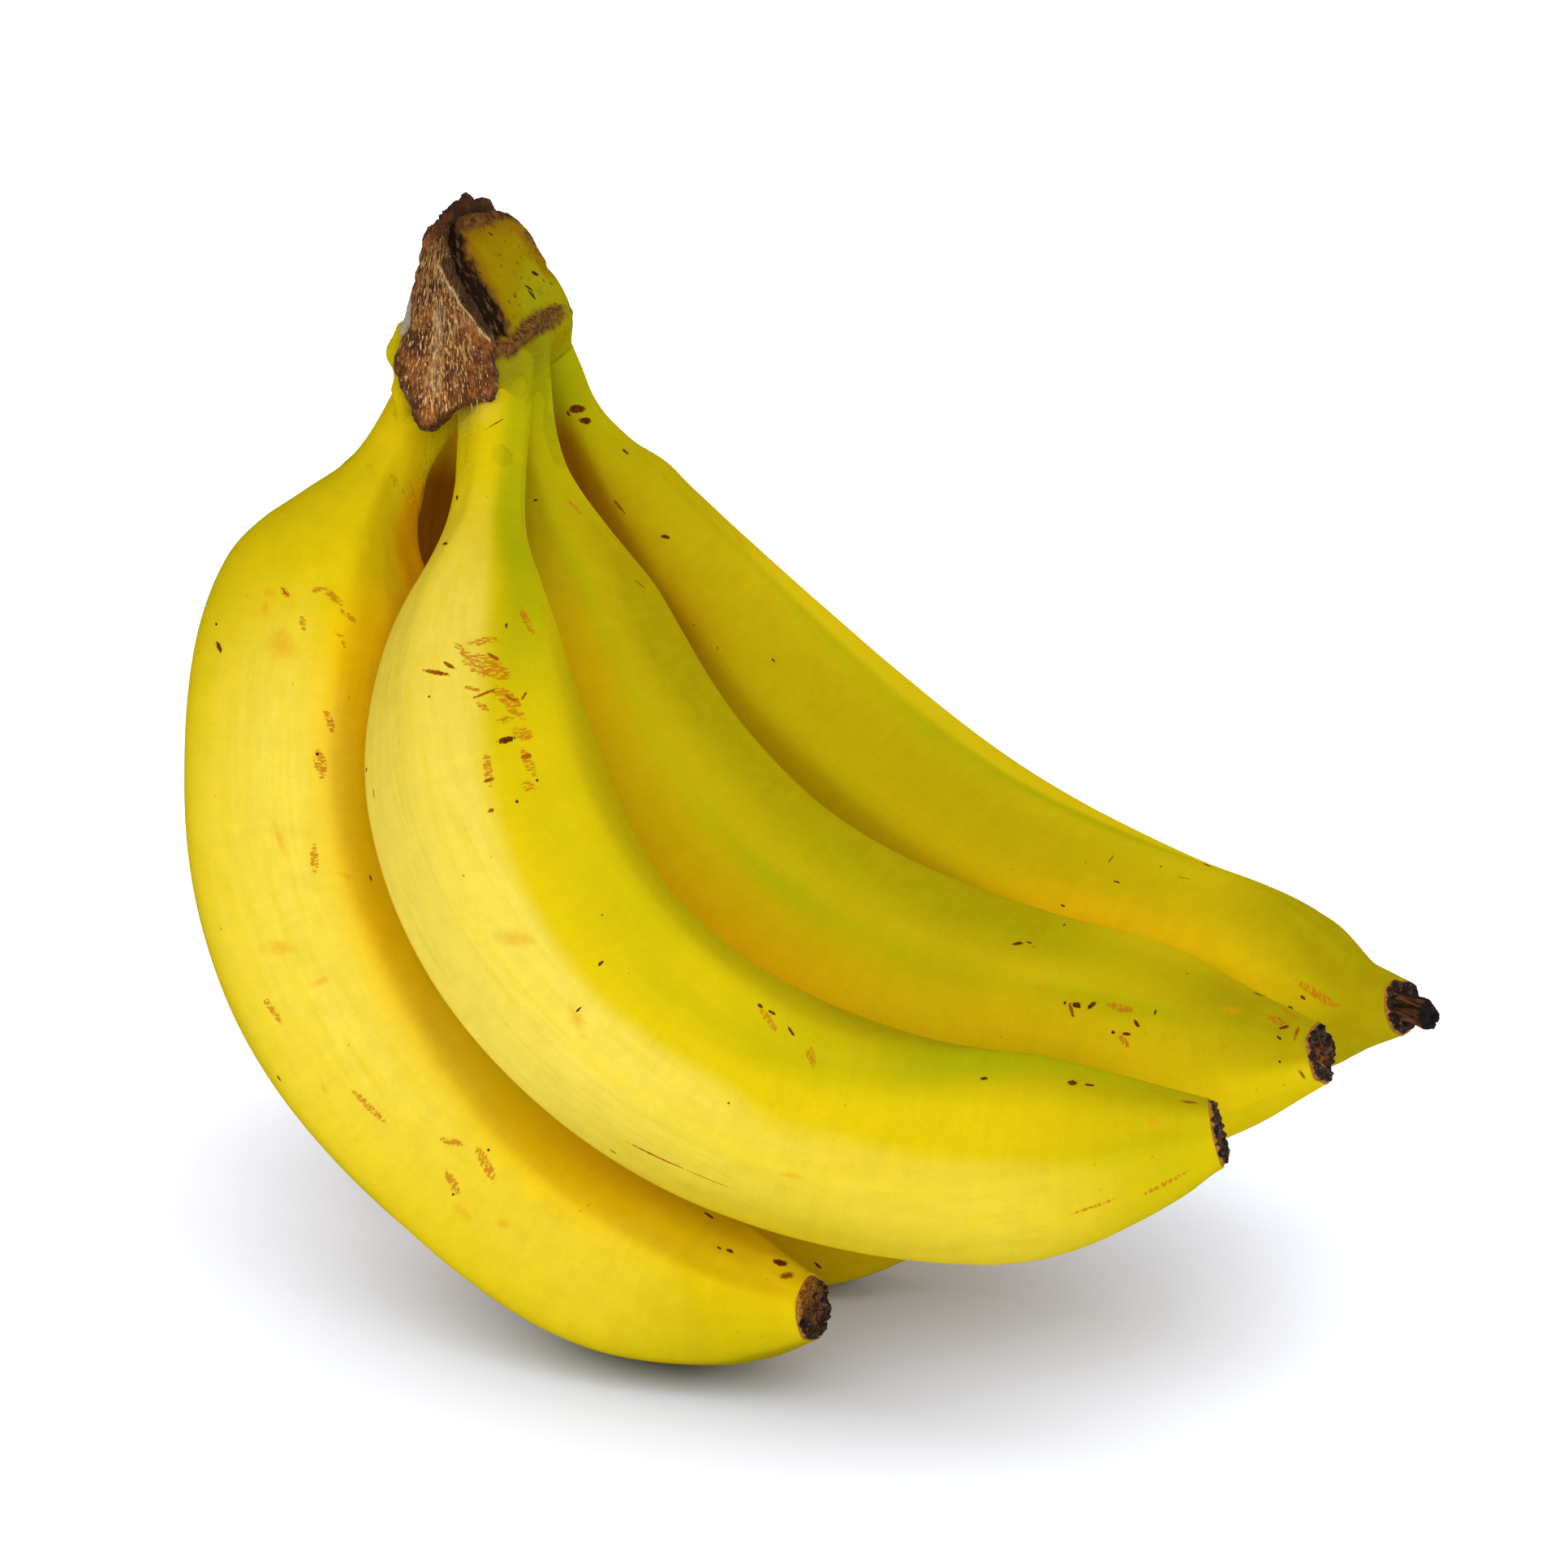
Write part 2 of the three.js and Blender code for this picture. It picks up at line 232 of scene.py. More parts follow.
def noise(points, size, seed):
    """Smooth noise from -1 to 1 with lumps of about that size; size may be a triple."""
    p = np.asarray(points, float) / np.asarray(size, float)
    base = np.floor(p).astype(np.int64)
    f = smooth(0, 1, p - base)
    total = 0
    for corner in itertools.product((0, 1), repeat=3):
        weight = np.where(corner, f, 1 - f).prod(-1)
        total = total + weight * lattice(base + corner, seed)
    return total


# ---- one finger

def directions(finger, u):
    heading = np.radians(at_stations(finger["heading"], u))
    rise = np.radians(at_stations(finger["rise"], u))
    return np.stack(
        [np.cos(heading) * np.cos(rise), np.sin(heading) * np.cos(rise), np.sin(rise)], -1
    )


def spine(finger):
    along = directions(finger, np.linspace(0, 1, SPINE_STEPS + 1))
    moves = (along[1:] + along[:-1]) / 2 * finger["length"] / SPINE_STEPS
    start = np.array(finger["root"], float)
    return np.vstack([start, start + np.cumsum(moves, 0)])


def axis_at(finger, u):
    """Places on a fruit's axis, with the directions along it, to its front and to its side."""
    line, places = spine(finger), np.linspace(0, 1, SPINE_STEPS + 1)
    along = directions(finger, u)
    front = unit(np.array([0, 0, 1.0]) - along * along[..., 2:3])
    return (np.stack([np.interp(u, places, line[:, k]) for k in range(3)], -1), along, front,
            np.cross(along, front))


def radius(finger, u):
    neck, belly, tip = finger["neck"], finger["belly"], finger["tip"]
    neck_end, start, end = finger["neck_end"], finger["belly_from"], finger["belly_to"]
    places = [
        0, neck_end, neck_end + (start - neck_end) * SHOULDER_PLACE, start,
        (start + end) / 2, end, end + (1 - end) * NOSE_PLACES[0],
        end + (1 - end) * NOSE_PLACES[1], 1,
    ]
    radii = [
        neck, neck * NECK_FLARE, neck + (belly - neck) * finger["shoulder"],
        belly * BELLY_START_SHARE, belly, belly * finger["waist"],
        tip + (belly - tip) * finger["nose"][0],
        tip + (belly - tip) * finger["nose"][1], tip,
    ]
    return through(places, radii, u)


def flats(ridges, angle):
    """Five soft flats: the radius at an angle, as a share of the girth radius."""
    total = 0
    for ridge, following in zip(ridges, ridges[1:] + [ridges[0] + 360]):
        reach = RIDGE_REACH * math.cos(math.radians((following - ridge) / 2))
        facing = np.cos(np.radians(angle - (ridge + following) / 2))
        total = total + (np.maximum(facing, 0) / reach) ** SECTION_POWER
    return total ** (-1 / SECTION_POWER)


def angle_apart(a, b):
    return np.abs((a - b + 180) % 360 - 180)


def ridge_distance(ridges, angle):
    """Degrees to the nearest ridge."""
    return np.min([angle_apart(angle, ridge) for ridge in ridges], axis=0)


def around_axis(line, front, side, turn, reach):
    """Points at that turn and reach round each place of an axis."""
    return (line[:, None] + front[:, None] * (reach * np.cos(turn))[..., None]
            + side[:, None] * (reach * np.sin(turn))[..., None])


# ---- from the hand frame to the row frame

TO_REST = Matrix.Rotation(math.radians(90 - PITCH), 3, "X") @ Matrix.Rotation(
    math.radians(-ROLL), 3, "Z"
)
TO_REST_ARRAY = np.array(TO_REST)
PRESS_SOFTNESS = 0.0006


def cad_fruit_points(finger):
    start = STUB_END + GAP / finger["length"]
    body = (CAD_NOSE_START - start) * np.arange(CAD_BODY_RINGS) / CAD_BODY_RINGS
    u = np.concatenate([start + body, np.linspace(CAD_NOSE_START, 1, CAD_NOSE_RINGS + 1)])
    angle = 360 * np.arange(CAD_SIDES) / CAD_SIDES
    line, _, front, side = axis_at(finger, u)
    turn = np.radians(angle[None, :] + at_stations(finger["roll"], u)[:, None])
    reach = radius(finger, u)[:, None] * flats(finger["ridges"], angle)[None, :]
    return around_axis(line, front, side, turn, reach).reshape(-1, 3)


def find_shift():
    """Where the hand frame's origin lies in the row frame, in metres."""
    rest = cad_fruit_points(FINGERS["inner_front"]) @ TO_REST_ARRAY.T / 1000
    low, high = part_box("banana_inner_front")
    centre = (np.array(low) + np.array(high)) / 2
    return centre - (rest.min(0) + rest.max(0)) / 2


SHIFT = find_shift()


def to_row(points):
    return points @ TO_REST_ARRAY.T / 1000 + SHIFT


def pressed(points):
    """Row-frame points with what would be below the floor pressed flat onto it."""
    z = points[:, 2]
    flat = (z + np.sqrt(z * z + PRESS_SOFTNESS**2)) / 2
    return np.column_stack([points[:, :2], flat])


# ---- meshes

FRUIT = []


def add_piece(name, points, faces, attributes, material, node):
    """A piece of the bunch that takes the place of one CAD node."""
    mesh = bpy.data.meshes.new(name)
    sizes = np.array([len(f) for f in faces])
    mesh.vertices.add(len(points))
    mesh.vertices.foreach_set("co", np.asarray(points, np.float32).reshape(-1))
    mesh.loops.add(int(sizes.sum()))
    mesh.loops.foreach_set("vertex_index", np.concatenate([np.asarray(f) for f in faces]))
    mesh.polygons.add(len(sizes))
    mesh.polygons.foreach_set("loop_start", np.concatenate([[0], np.cumsum(sizes)[:-1]]))
    mesh.update(calc_edges=True)
    mesh.validate()
    for key, values in attributes.items():
        values = np.asarray(values, float)
        kind, field = ("FLOAT_VECTOR", "vector") if values.ndim == 2 else ("FLOAT", "value")
        mesh.attributes.new(key, kind, "POINT").data.foreach_set(field, values.reshape(-1))
    mesh.polygons.foreach_set("use_smooth", [True] * len(mesh.polygons))
    mesh.materials.append(material)
    obj = bpy.data.objects.new(name, mesh)
    bpy.context.scene.collection.objects.link(obj)
    FRUIT.append(obj)
    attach(obj, "root")
    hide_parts(node)


def grid_faces(rings, sides):
    i = np.arange(rings - 1)[:, None] * sides
    j = np.arange(sides)[None, :]
    k = (j + 1) % sides
    return np.stack([i + j, i + k, i + sides + k, i + sides + j], -1).reshape(-1, 4)


def vertex_normals(points, quads):
    a, b, c, d = (points[quads[:, k]] for k in range(4))
    total = np.zeros_like(points)
    for k in range(4):
        np.add.at(total, quads[:, k], np.cross(c - a, d - b))
    return total / np.maximum(np.linalg.norm(total, axis=1, keepdims=True), 1e-12)


def grid_between(low, high, step):
    """The axes of a grid of points from low to about high."""
    counts = np.round((high - low) / step).astype(int) + 1
    return [low[k] + step * np.arange(counts[k]) for k in range(3)]


def surface_net(distance, low, step):
    """A closed quad mesh round the part of a grid where distance is below zero."""
    core = (slice(1, -1),) * 3
    closed = np.maximum(distance, step / 2)
    closed[core] = distance[core]
    shape = np.array(closed.shape) - 1
    total, count = np.zeros((*shape, 3)), np.zeros(shape)
    for axis in range(3):
        for start in itertools.product(*[(0,) if k == axis else (0, 1) for k in range(3)]):
            end = [o + (k == axis) for k, o in enumerate(start)]
            a, b = (closed[tuple(slice(o, o + n) for o, n in zip(offset, shape))]
                    for offset in (start, end))
            crossed = (a < 0) != (b < 0)
            t = np.where(crossed, a / np.where(crossed, a - b, 1), 0)
            for k in range(3):
                total[..., k] += np.where(crossed, start[k] + (t if k == axis else 0), 0)
            count += crossed
    active = count > 0
    number = -np.ones(shape, np.int64)
    number[active] = np.arange(active.sum())
    points = low + step * (np.argwhere(active) + total[active] / count[active][:, None])
    inside = closed < 0
    quads = []
    for axis in range(3):
        first, second = np.delete(inside, -1, axis), np.delete(inside, 0, axis)
        for order, mask in ((1, first & ~second), (-1, second & ~first)):
            corners = []
            for back in ((1, 1), (0, 1), (0, 0), (1, 0)):
                cell = np.argwhere(mask)
                cell[:, [(axis + 1) % 3, (axis + 2) % 3]] -= back
                corners.append(number[tuple(cell.T)])
            quads.append(np.stack(corners[::order], 1))
    return points, np.vstack(quads)


# ---- materials

class Shader:
    """A material's node tree, built node by node."""

    def __init__(self, name):
        self.material = bpy.data.materials.new(name)
        self.material.use_nodes = True
        self.tree = self.material.node_tree
        self.tree.nodes.clear()
        self.surface = self.tree.nodes.new("ShaderNodeBsdfPrincipled")
        output = self.tree.nodes.new("ShaderNodeOutputMaterial")
        self.tree.links.new(self.surface.outputs["BSDF"], output.inputs["Surface"])

    def put(self, socket, value):
        if isinstance(value, bpy.types.NodeSocket):
            self.tree.links.new(value, socket)
        else:
            socket.default_value = value

    def node(self, kind, inputs=(), **settings):
        made = self.tree.nodes.new("ShaderNode" + kind)
        for key, value in settings.items():
            setattr(made, key, value)
        for key, value in dict(inputs).items():
            self.put(made.inputs[key], value)
        return made

    def attribute(self, name, output="Fac"):
        return self.node("Attribute", attribute_name=name).outputs[output]

    def math(self, operation, *values):
        return self.node("Math", enumerate(values), operation=operation).outputs[0]

    def plus(self, *values):
        return self.math("ADD", *values)

    def times(self, *values):
        return self.math("MULTIPLY", *values)

    def scaled(self, value, factor, offset):
        return self.math("MULTIPLY_ADD", value, factor, offset)

    def step(self, value, low, high, to_low=0.0, to_high=1.0):
        """A soft step of value from low to high."""
        limits = {"Value": value, "From Min": low, "From Max": high, "To Min": to_low,
                  "To Max": to_high}
        return self.node("MapRange", limits, interpolation_type="SMOOTHSTEP").outputs["Result"]

    def noise(self, vector, scale, detail=2.0, roughness=0.5, distortion=0.0):
        made = self.node("TexNoise", {"Vector": vector, "Scale": scale, "Detail": detail,
                                      "Roughness": roughness, "Distortion": distortion})
        return made.outputs["Fac"]

    def cells(self, vector, scale):
        return self.node("TexVoronoi", {"Vector": vector, "Scale": scale}).outputs["Distance"]

    def stretched(self, vector, scale):
        return self.node("Mapping", {"Vector": vector, "Scale": scale}).outputs["Vector"]

    def inside(self, vector, centre, turn, half):
        """The vector in the coordinates of a turned ellipsoid with those half sizes."""
        box = {"Vector": vector, "Location": centre, "Rotation": turn, "Scale": half}
        return self.node("Mapping", box, vector_type="TEXTURE").outputs["Vector"]

    def mix(self, share, *colors):
        made = self.node("Mix", data_type="RGBA")
        self.put(made.inputs["Factor"], share)
        for socket, color in zip((6, 7), colors):
            self.put(made.inputs[socket], (*color, 1) if isinstance(color, tuple) else color)
        return made.outputs[2]

    def layers(self, color, *coats):
        """Coats of other colours over a colour, each with its own share."""
        for share, coat in coats:
            color = self.mix(share, color, coat)
        return color

    def bump(self, height, distance, strength):
        made = self.node("Bump", {"Height": height, "Distance": distance, "Strength": strength})
        return made.outputs["Normal"]

    def finish(self, **inputs):
        for key, value in inputs.items():
            self.put(self.surface.inputs[key.replace("_", " ")], value)
        return self.material


YELLOW = (0.64, 0.465, 0.003)
# Chalky bloom and painted highlight: the pale cream on the lit sides of the front fruits.
CHALK_AND_HIGHLIGHT = (0.72, 0.56, 0.065)
GREEN = (0.34, 0.325, 0.002)
# Painted bounce light: the bright orange painted where the fruits face each other in the gaps.
PAINTED_BOUNCE = (0.92, 0.47, 0.002)
# Painted shade: the deep orange-brown painted in the narrow gaps and the hole between the fruits.
PAINTED_SHADE = (0.24, 0.06, 0.0005)
# Olive: partly the skin's own dull tone, partly painted shade.
OLIVE_AND_SHADE = (0.35, 0.265, 0.002)
BROWN = (0.13, 0.032, 0.003)
DASH_BROWN = (0.38, 0.105, 0.003)
RUST = (0.44, 0.13, 0.004)
TAN = (0.62, 0.27, 0.006)
STAIN = (0.24, 0.075, 0.004)
LIP_DARK = (0.26, 0.105, 0.018)
LIP_LIGHT = (0.42, 0.185, 0.04)


def marks_mask(s, place, marks):
    """1 at the middle of each mark, 0 at its edge and less outside; place is unrolled skin."""
    total = None
    for mark in marks:
        away = s.node("VectorMath", {0: s.inside(place, *mark)}, operation="LENGTH")
        mask = s.math("SUBTRACT", 1.0, away.outputs["Value"])
        total = mask if total is None else s.math("MAXIMUM", total, mask)
    return total


def peel_color(s, place, grain, streaks):
    """Yellow with the mesh's shares of green, painted bounce, chalk and painted highlight, olive
    and painted shade, and deep painted shade, with faint lengthwise streaks.
    """
    lumps = s.noise(place, 0.05, 3, 0.5)
    mottle = s.noise(place, 0.24, 4, 0.62)
    cross = s.noise(s.stretched(place, (1.4, 0.2, 0.2)), 0.45, 2, 0.6)
    green = s.attribute("green")
    for pattern, depth in ((lumps, 0.5), (streaks, 0.16), (mottle, 0.5)):
        green = s.plus(green, s.scaled(pattern, depth, -depth / 2))
    patchy = s.step(s.noise(place, 0.06, 2, 0.5), 0.45, 0.6)
    color = s.layers(
        s.mix(s.step(s.attribute("painted_bounce"), 0, 1), YELLOW, PAINTED_BOUNCE),
        (s.times(s.attribute("chalk_and_highlight"), s.scaled(streaks, 1.6, 0.2)), CHALK_AND_HIGHLIGHT),
        (s.attribute("olive_and_shade"), OLIVE_AND_SHADE),
        (s.step(green, 0.05, 1.0), GREEN),
        (s.attribute("painted_shade"), PAINTED_SHADE),
        (s.times(s.step(s.cells(place, 0.28), 0.035, 0.06, 0.7, 0.0), patchy), RUST),
    )
    tone = 1.0
    for pattern, depth in ((cross, 0.10), (grain, 0.10), (mottle, 0.24)):
        tone = s.times(s.scaled(pattern, depth, 1 - depth / 2), tone)
    return s.node("VectorMath", {0: color, 3: tone}, operation="SCALE").outputs["Vector"]


def peel_material(name, marks):
    s = Shader(name)
    place = s.attribute("straight", "Vector")
    streaks = s.noise(s.stretched(place, (0.12, 1.6, 1.6)), 0.5, 3, 0.6)
    grain = s.noise(place, 1.6, 3, 0.6)
    ragged = s.scaled(s.noise(place, 2.0, 4, 0.7), 1.6, -0.8)
    cloudy = s.scaled(s.noise(place, 0.55, 4, 0.65), 1.6, -0.8)
    dashes = s.noise(s.stretched(place, (3.6, 1.0, 1.0)), 1.0, 3, 0.62)
    lip = s.step(s.scaled(ragged, 0.45, s.attribute("rim")), 0.4, 0.6)
    color = s.mix(lip, peel_color(s, place, grain, streaks), s.mix(grain, LIP_DARK, LIP_LIGHT))
    shades = {"soft": TAN, "scuff": RUST, "dash": DASH_BROWN, "spot": BROWN, "stain": STAIN}
    for kind, shade in shades.items():
        mask = marks_mask(s, place, [mark for k, mark in marks if k == kind])
        if mask is None:
            continue
        if kind == "scuff":
            mask = s.step(s.scaled(s.step(mask, -0.1, 0.5), 0.33, dashes), 0.76, 0.84, 0.0, 0.8)
        elif kind == "soft":
            mask = s.step(s.plus(mask, cloudy), 0.0, 1.0, 0.0, 0.5)
        elif kind == "stain":
            mask = s.step(s.scaled(s.plus(ragged, cloudy), 0.55, mask), 0.0, 0.6)
        else:
            mask = s.step(s.plus(mask, ragged), 0.0, 0.25)
            shade = s.mix(s.step(grain, 0.35, 0.65), shade, tuple(0.5 * part for part in shade))
        color = s.mix(mask, color, shade)
    rough = s.step(grain, 0.2, 0.8, 0.40, 0.52)
    normal = s.bump(s.plus(s.times(streaks, 0.7), s.times(grain, 0.35)), 0.00025, 0.35)
    return s.finish(Base_Color=color, Roughness=rough, Specular_IOR_Level=0.0, Normal=normal)


# ---- the fruits

AXIS_STEPS = 48
SKIN_SIDES = 144
SKIN_FROM = 0.03
SKIN_RINGS = 200
TIP_FROM = 0.88
TIP_RINGS = 60
# Swellings and hollows of the skin: pixel place, depth, size and height in millimetres.
BUMPS = {
    "inner_back": [(806, 566, -36, 4.5, 0.9), (766, 550, -36, 2.0, -0.7),
                   (700, 455, -36, 5.0, 0.7)],
    "outer_front": [(514, 676, -10, 6.0, -1.4)],
}
# The folded lip round the blossom scar, ring by ring: how far it stands out past the tip in
# millimetres, its share of the skin's last ring, and how far past the tip it counts as.
LIP = [(0.35, 0.985, 0.004), (0.5, 0.95, 0.004), (0.45, 0.90, 0.01), (0.2, 0.82, 0.01),
       (-0.1, 0.70, 0.01), (-0.4, 0.4, 0.01)]
LIP_WAVY_BELOW = 0.98
LIP_CORKY_FROM = 1.005
LIP_WAVES = [(3, 1, 0.030), (5, 2, 0.022), (9, 0, 0.014)]


def skin_relief(finger, u, angle, straight):
    """How far the skin stands off the plain section, in millimetres."""
    gap = ridge_distance(finger["ridges"], angle)
    cord = 0.28 * bell(gap, 5.5) - 0.14 * bell(gap - 15, 8)
    waves = 0.35 * noise(straight, (34, 16, 16), 11) + 0.10 * noise(straight, (9, 5, 5), 12)
    neck = fade(0.1, 0.24, u) * 0.22 * noise(straight, (14, 2.4, 2.4), 13)
    nose = smooth(0.9, 0.99, u) * 0.22 * noise(straight, (8, 2.2, 2.2), 14)
    return (cord + waves) * window(u, 0.08, 0.2, 0.93, 1.0) + neck + nose


def lip_wave(name, turn):
    """How wavy the edge of the blossom scar is, as a factor of its radius."""
    shift = list(FINGERS).index(name)
    return 1 + sum(depth * np.sin(count * turn + part * shift) for count, part, depth in LIP_WAVES)


def swelling(name, points):
    """The height of one fruit's swellings and hollows at each point."""
    total = np.zeros(points.shape[:-1])
    for px, py, depth, size, height in BUMPS.get(name, []):
        away = np.linalg.norm((points - at_pixel(px, py, depth))[..., :2], axis=-1)
        total = total + height * bell(away, size)
    return total


def fruit_skin(name):
    """Points, faces, places along, angles round and unrolled points of one fruit's skin."""
    finger = FINGERS[name]
    u = np.concatenate([
        np.linspace(SKIN_FROM, TIP_FROM, SKIN_RINGS, endpoint=False),
        np.linspace(TIP_FROM, 1, TIP_RINGS),
    ])
    uu, aa = np.meshgrid(u, 360 * np.arange(SKIN_SIDES) / SKIN_SIDES, indexing="ij")
    line, along, front, side = axis_at(finger, u)
    turn = np.radians(aa + at_stations(finger["roll"], u)[:, None])
    section = 1 + (flats(finger["ridges"], aa) - 1) * (1 - 0.4 * smooth(0.9, 1.0, uu))
    reach = radius(finger, u)[:, None] * section
    around = np.radians(aa)
    straight = np.stack([uu * finger["length"], reach * np.cos(around), reach * np.sin(around)], -1)
    reach = reach + skin_relief(finger, uu, aa, straight)
    reach = reach + swelling(name, around_axis(line, front, side, turn, reach))
    points = around_axis(line, front, side, turn, reach)
    rings, straights, places = [points], [straight], [uu]
    for out, share, past in LIP:
        wave = lip_wave(name, turn[-1]) if share < LIP_WAVY_BELOW else np.ones(SKIN_SIDES)
        ring = line[-1] + (points[-1] - line[-1]) * (share * wave)[:, None] + along[-1] * out
        rings.append(ring[None])
        straights.append((straight[-1] * [1, share, share] + [out, 0, 0])[None])
        places.append(uu[-1:] + past)
    points, straight, uu = (np.concatenate(parts) for parts in (rings, straights, places))
    faces = list(grid_faces(len(points), SKIN_SIDES))
    first = np.arange(SKIN_SIDES)
    faces += [first[::-1], (len(points) - 1) * SKIN_SIDES + first]
    aa = np.broadcast_to(aa[0], uu.shape)
    return points.reshape(-1, 3), faces, uu.reshape(-1), aa.reshape(-1), straight.reshape(-1, 3)


def nearness(name, points, reach_out):
    """How much a neighbouring fruit crowds each point: 1 where they touch, 0 from reach_out."""
    closest = np.full(len(points), np.inf)
    places = np.linspace(0, 1, AXIS_STEPS + 1)
    for other, finger in FINGERS.items():
        if other == name:
            continue
        for centre, reach in zip(axis_at(finger, places)[0], radius(finger, places)):
            closest = np.minimum(closest, np.linalg.norm(points - centre, axis=1) - reach)
    return fade(0, 1, closest / reach_out)


# Share of green on the neck, on the tip and over the whole of each fruit, and of olive near
# its neck, further along and, on top of that, at its tip. The olive is partly the skin's own
# dull tone and partly painted shade that darkens the fruits further back; on the hidden middle
# outer fruit the green over the whole fruit also darkens it as painted shade.
GREENS = {
    "outer_front": (0.25, 0.25, 0.0),
    "inner_front": (0.35, 0.45, 0.0),
    "inner_middle": (0.85, 0.10, 0.16),
    "inner_back": (0.95, 0.10, 0.18),
    "outer_middle": (0.50, 0.10, 0.10),
    "outer_back": (0.60, 0.30, 0.25),
}
OLIVE_AND_SHADE_SHARES = {
    "outer_front": (0.0, 0.0, 0.45),
    "inner_front": (0.0, 0.0, 0.22),
    "inner_middle": (0.70, 0.34, 0.80),
    "inner_back": (0.70, 0.70, 0.70),
    "outer_middle": (0.8, 0.35, 0.0),
    "outer_back": (0.3, 0.3, 0.6),
}
# The fruits that lie in front, in the brightest light: only these carry the full chalky bloom
# and painted highlight, and they get less painted shade between the fruits.
BRIGHT = ("outer_front", "inner_front")
# Green bands that run along a fruit: where they lie round it at five stations (as a
# turn, 0 facing the front), their half width in degrees and their strength.
BANDS = {
    "inner_front": [([-20, -28, -24, -40, -85], 20, 0.75), ([-50, -62, -68, -78, -110], 22, 0.4)],
    "inner_middle": [([-20, -55, -50, -60, -70], 30, 0.35), ([0, -22, -18, -24, -32], 7, 0.5)],
    "inner_back": [([-50, -50, -40, -62, -90], 10, 0.4), ([0, 6, 10, 4, -10], 8, 0.25)],
    "outer_front": [([-60, -70, -75, -80, -80], 20, 0.2)],
}
# Chalky bloom with a painted highlight: the pale band of the lower front fruit, in the same
# way, and where the chalky, painted-highlit skin of the upper one ends on its upper right side.
CHALK_HIGHLIGHT_LINE = [10, 0, -10, -20, -20]
CHALK_HIGHLIGHT_WIDTH = 34
CHALK_HIGHLIGHT_STRENGTH = 0.65
CHALK_HIGHLIGHT_EDGE = [-8, -8, 0, 6, 0]
# Painted light: how much peachier the necks are just under the dried stem, where the cut face
# shades them, and where that fades.
PAINTED_LIGHT_UNDER_CROWN = {"inner_front": (0.10, 0.08, 0.16), "outer_front": (0.15, 0.06, 0.14)}
# Painted shade: deep orange-brown where shade falls in the narrow gaps between the necks and
# over the hidden middle outer fruit, in the same way as the bands, with where each starts and
# ends along the fruit.
PAINTED_SHADE_BANDS = {
    "outer_front": [([-78, -82, -95, -95, -95], 40, 0.6, 0.06, 0.30)],
    "inner_back": [([46, 50, 60, 60, 60], 50, 0.8, 0.06, 0.38),
                   ([82, 82, 82, 82, 82], 32, 0.5, 0.24, 0.92)],
    "inner_middle": [([88, 92, 98, 110, 110], 36, 0.7, 0.08, 0.50),
                     ([112, 112, 112, 112, 112], 32, 0.55, 0.42, 0.85)],
    "outer_middle": [([0, 0, 0, 0, 0], 180, 0.88, 0.06, 0.42)],
}


def lower_side(turn, low, high):
    """1 on the lower left side of a fruit and 0 on the rest, with a soft step from low to high."""
    return smooth(low, high, turn) * fade(130, 175, turn)


def upper_side(turn, low, high):
    """1 on the upper right side of a fruit and 0 on the rest, with a soft step from low to high."""
    return smooth(low, high, -turn) * fade(125, 175, -turn)


# Ranges along a fruit for what begins before its start or ends past its tip.
START = (-2, -1)
END = (2, 3)
# Painted shade and painted light by side: where a side of a fruit is painted darker olive as
# shade or, with a minus, less olive as light: how much, which side, its soft step round the
# fruit, and where that starts and ends along it.
PAINTED_SIDE_SHADING = {
    "outer_front": [(0.5, lower_side, 30, 75, START, END),
                    (0.18, lower_side, 0, 40, (0.05, 0.12), (0.22, 0.36))],
    "inner_back": [(-0.9, upper_side, 22, 62, (0.2, 0.35), (0.8, 0.92)),
                   (0.35, lower_side, 0, 50, (0.5, 0.65), END)],
    "inner_front": [(0.3, upper_side, 42, 58, (0.15, 0.3), (0.62, 0.74)),
                    (0.3, lower_side, 40, 80, (0.5, 0.62), END),
                    (0.6, upper_side, 25, 60, (0.62, 0.74), END),
                    (0.45, upper_side, 45, 85, (0.15, 0.3), END)],
    "inner_middle": [(0.5, upper_side, 30, 70, (0.1, 0.25), (0.75, 0.85)),
                     (0.15, upper_side, 10, 35, (0.2, 0.3), (0.7, 0.8)),
                     (-0.75, lower_side, -5, 25, (0.2, 0.3), END)],
}


def band(turn, u, places, width, power=2):
    """1 on a line along a fruit that lies at those turns, and less to both its sides."""
    return bell(angle_apart(turn, at_stations(places, u)), width, power)


def green_share(name, u, turn, gap, straight):
    neck, tip, whole = GREENS[name]
    green = whole * smooth(0.2, 0.5, u) + neck * fade(0.04, 0.20, u) + tip * smooth(0.85, 0.99, u)
    green = green + 0.12 * bell(gap, 8) * smooth(0.1, 0.2, u)
    if name == "inner_front":
        green = green + 0.5 * upper_side(turn, -5, 40) * fade(0.10, 0.28, u)
    patchy = (0.8 + 0.4 * noise(straight, (25, 9, 9), 23)) * window(u, 0.05, 0.2, 0.9, 1.0)
    for places, width, strength in BANDS.get(name, []):
        green = green + strength * band(turn, u, places, width) * patchy
    return green


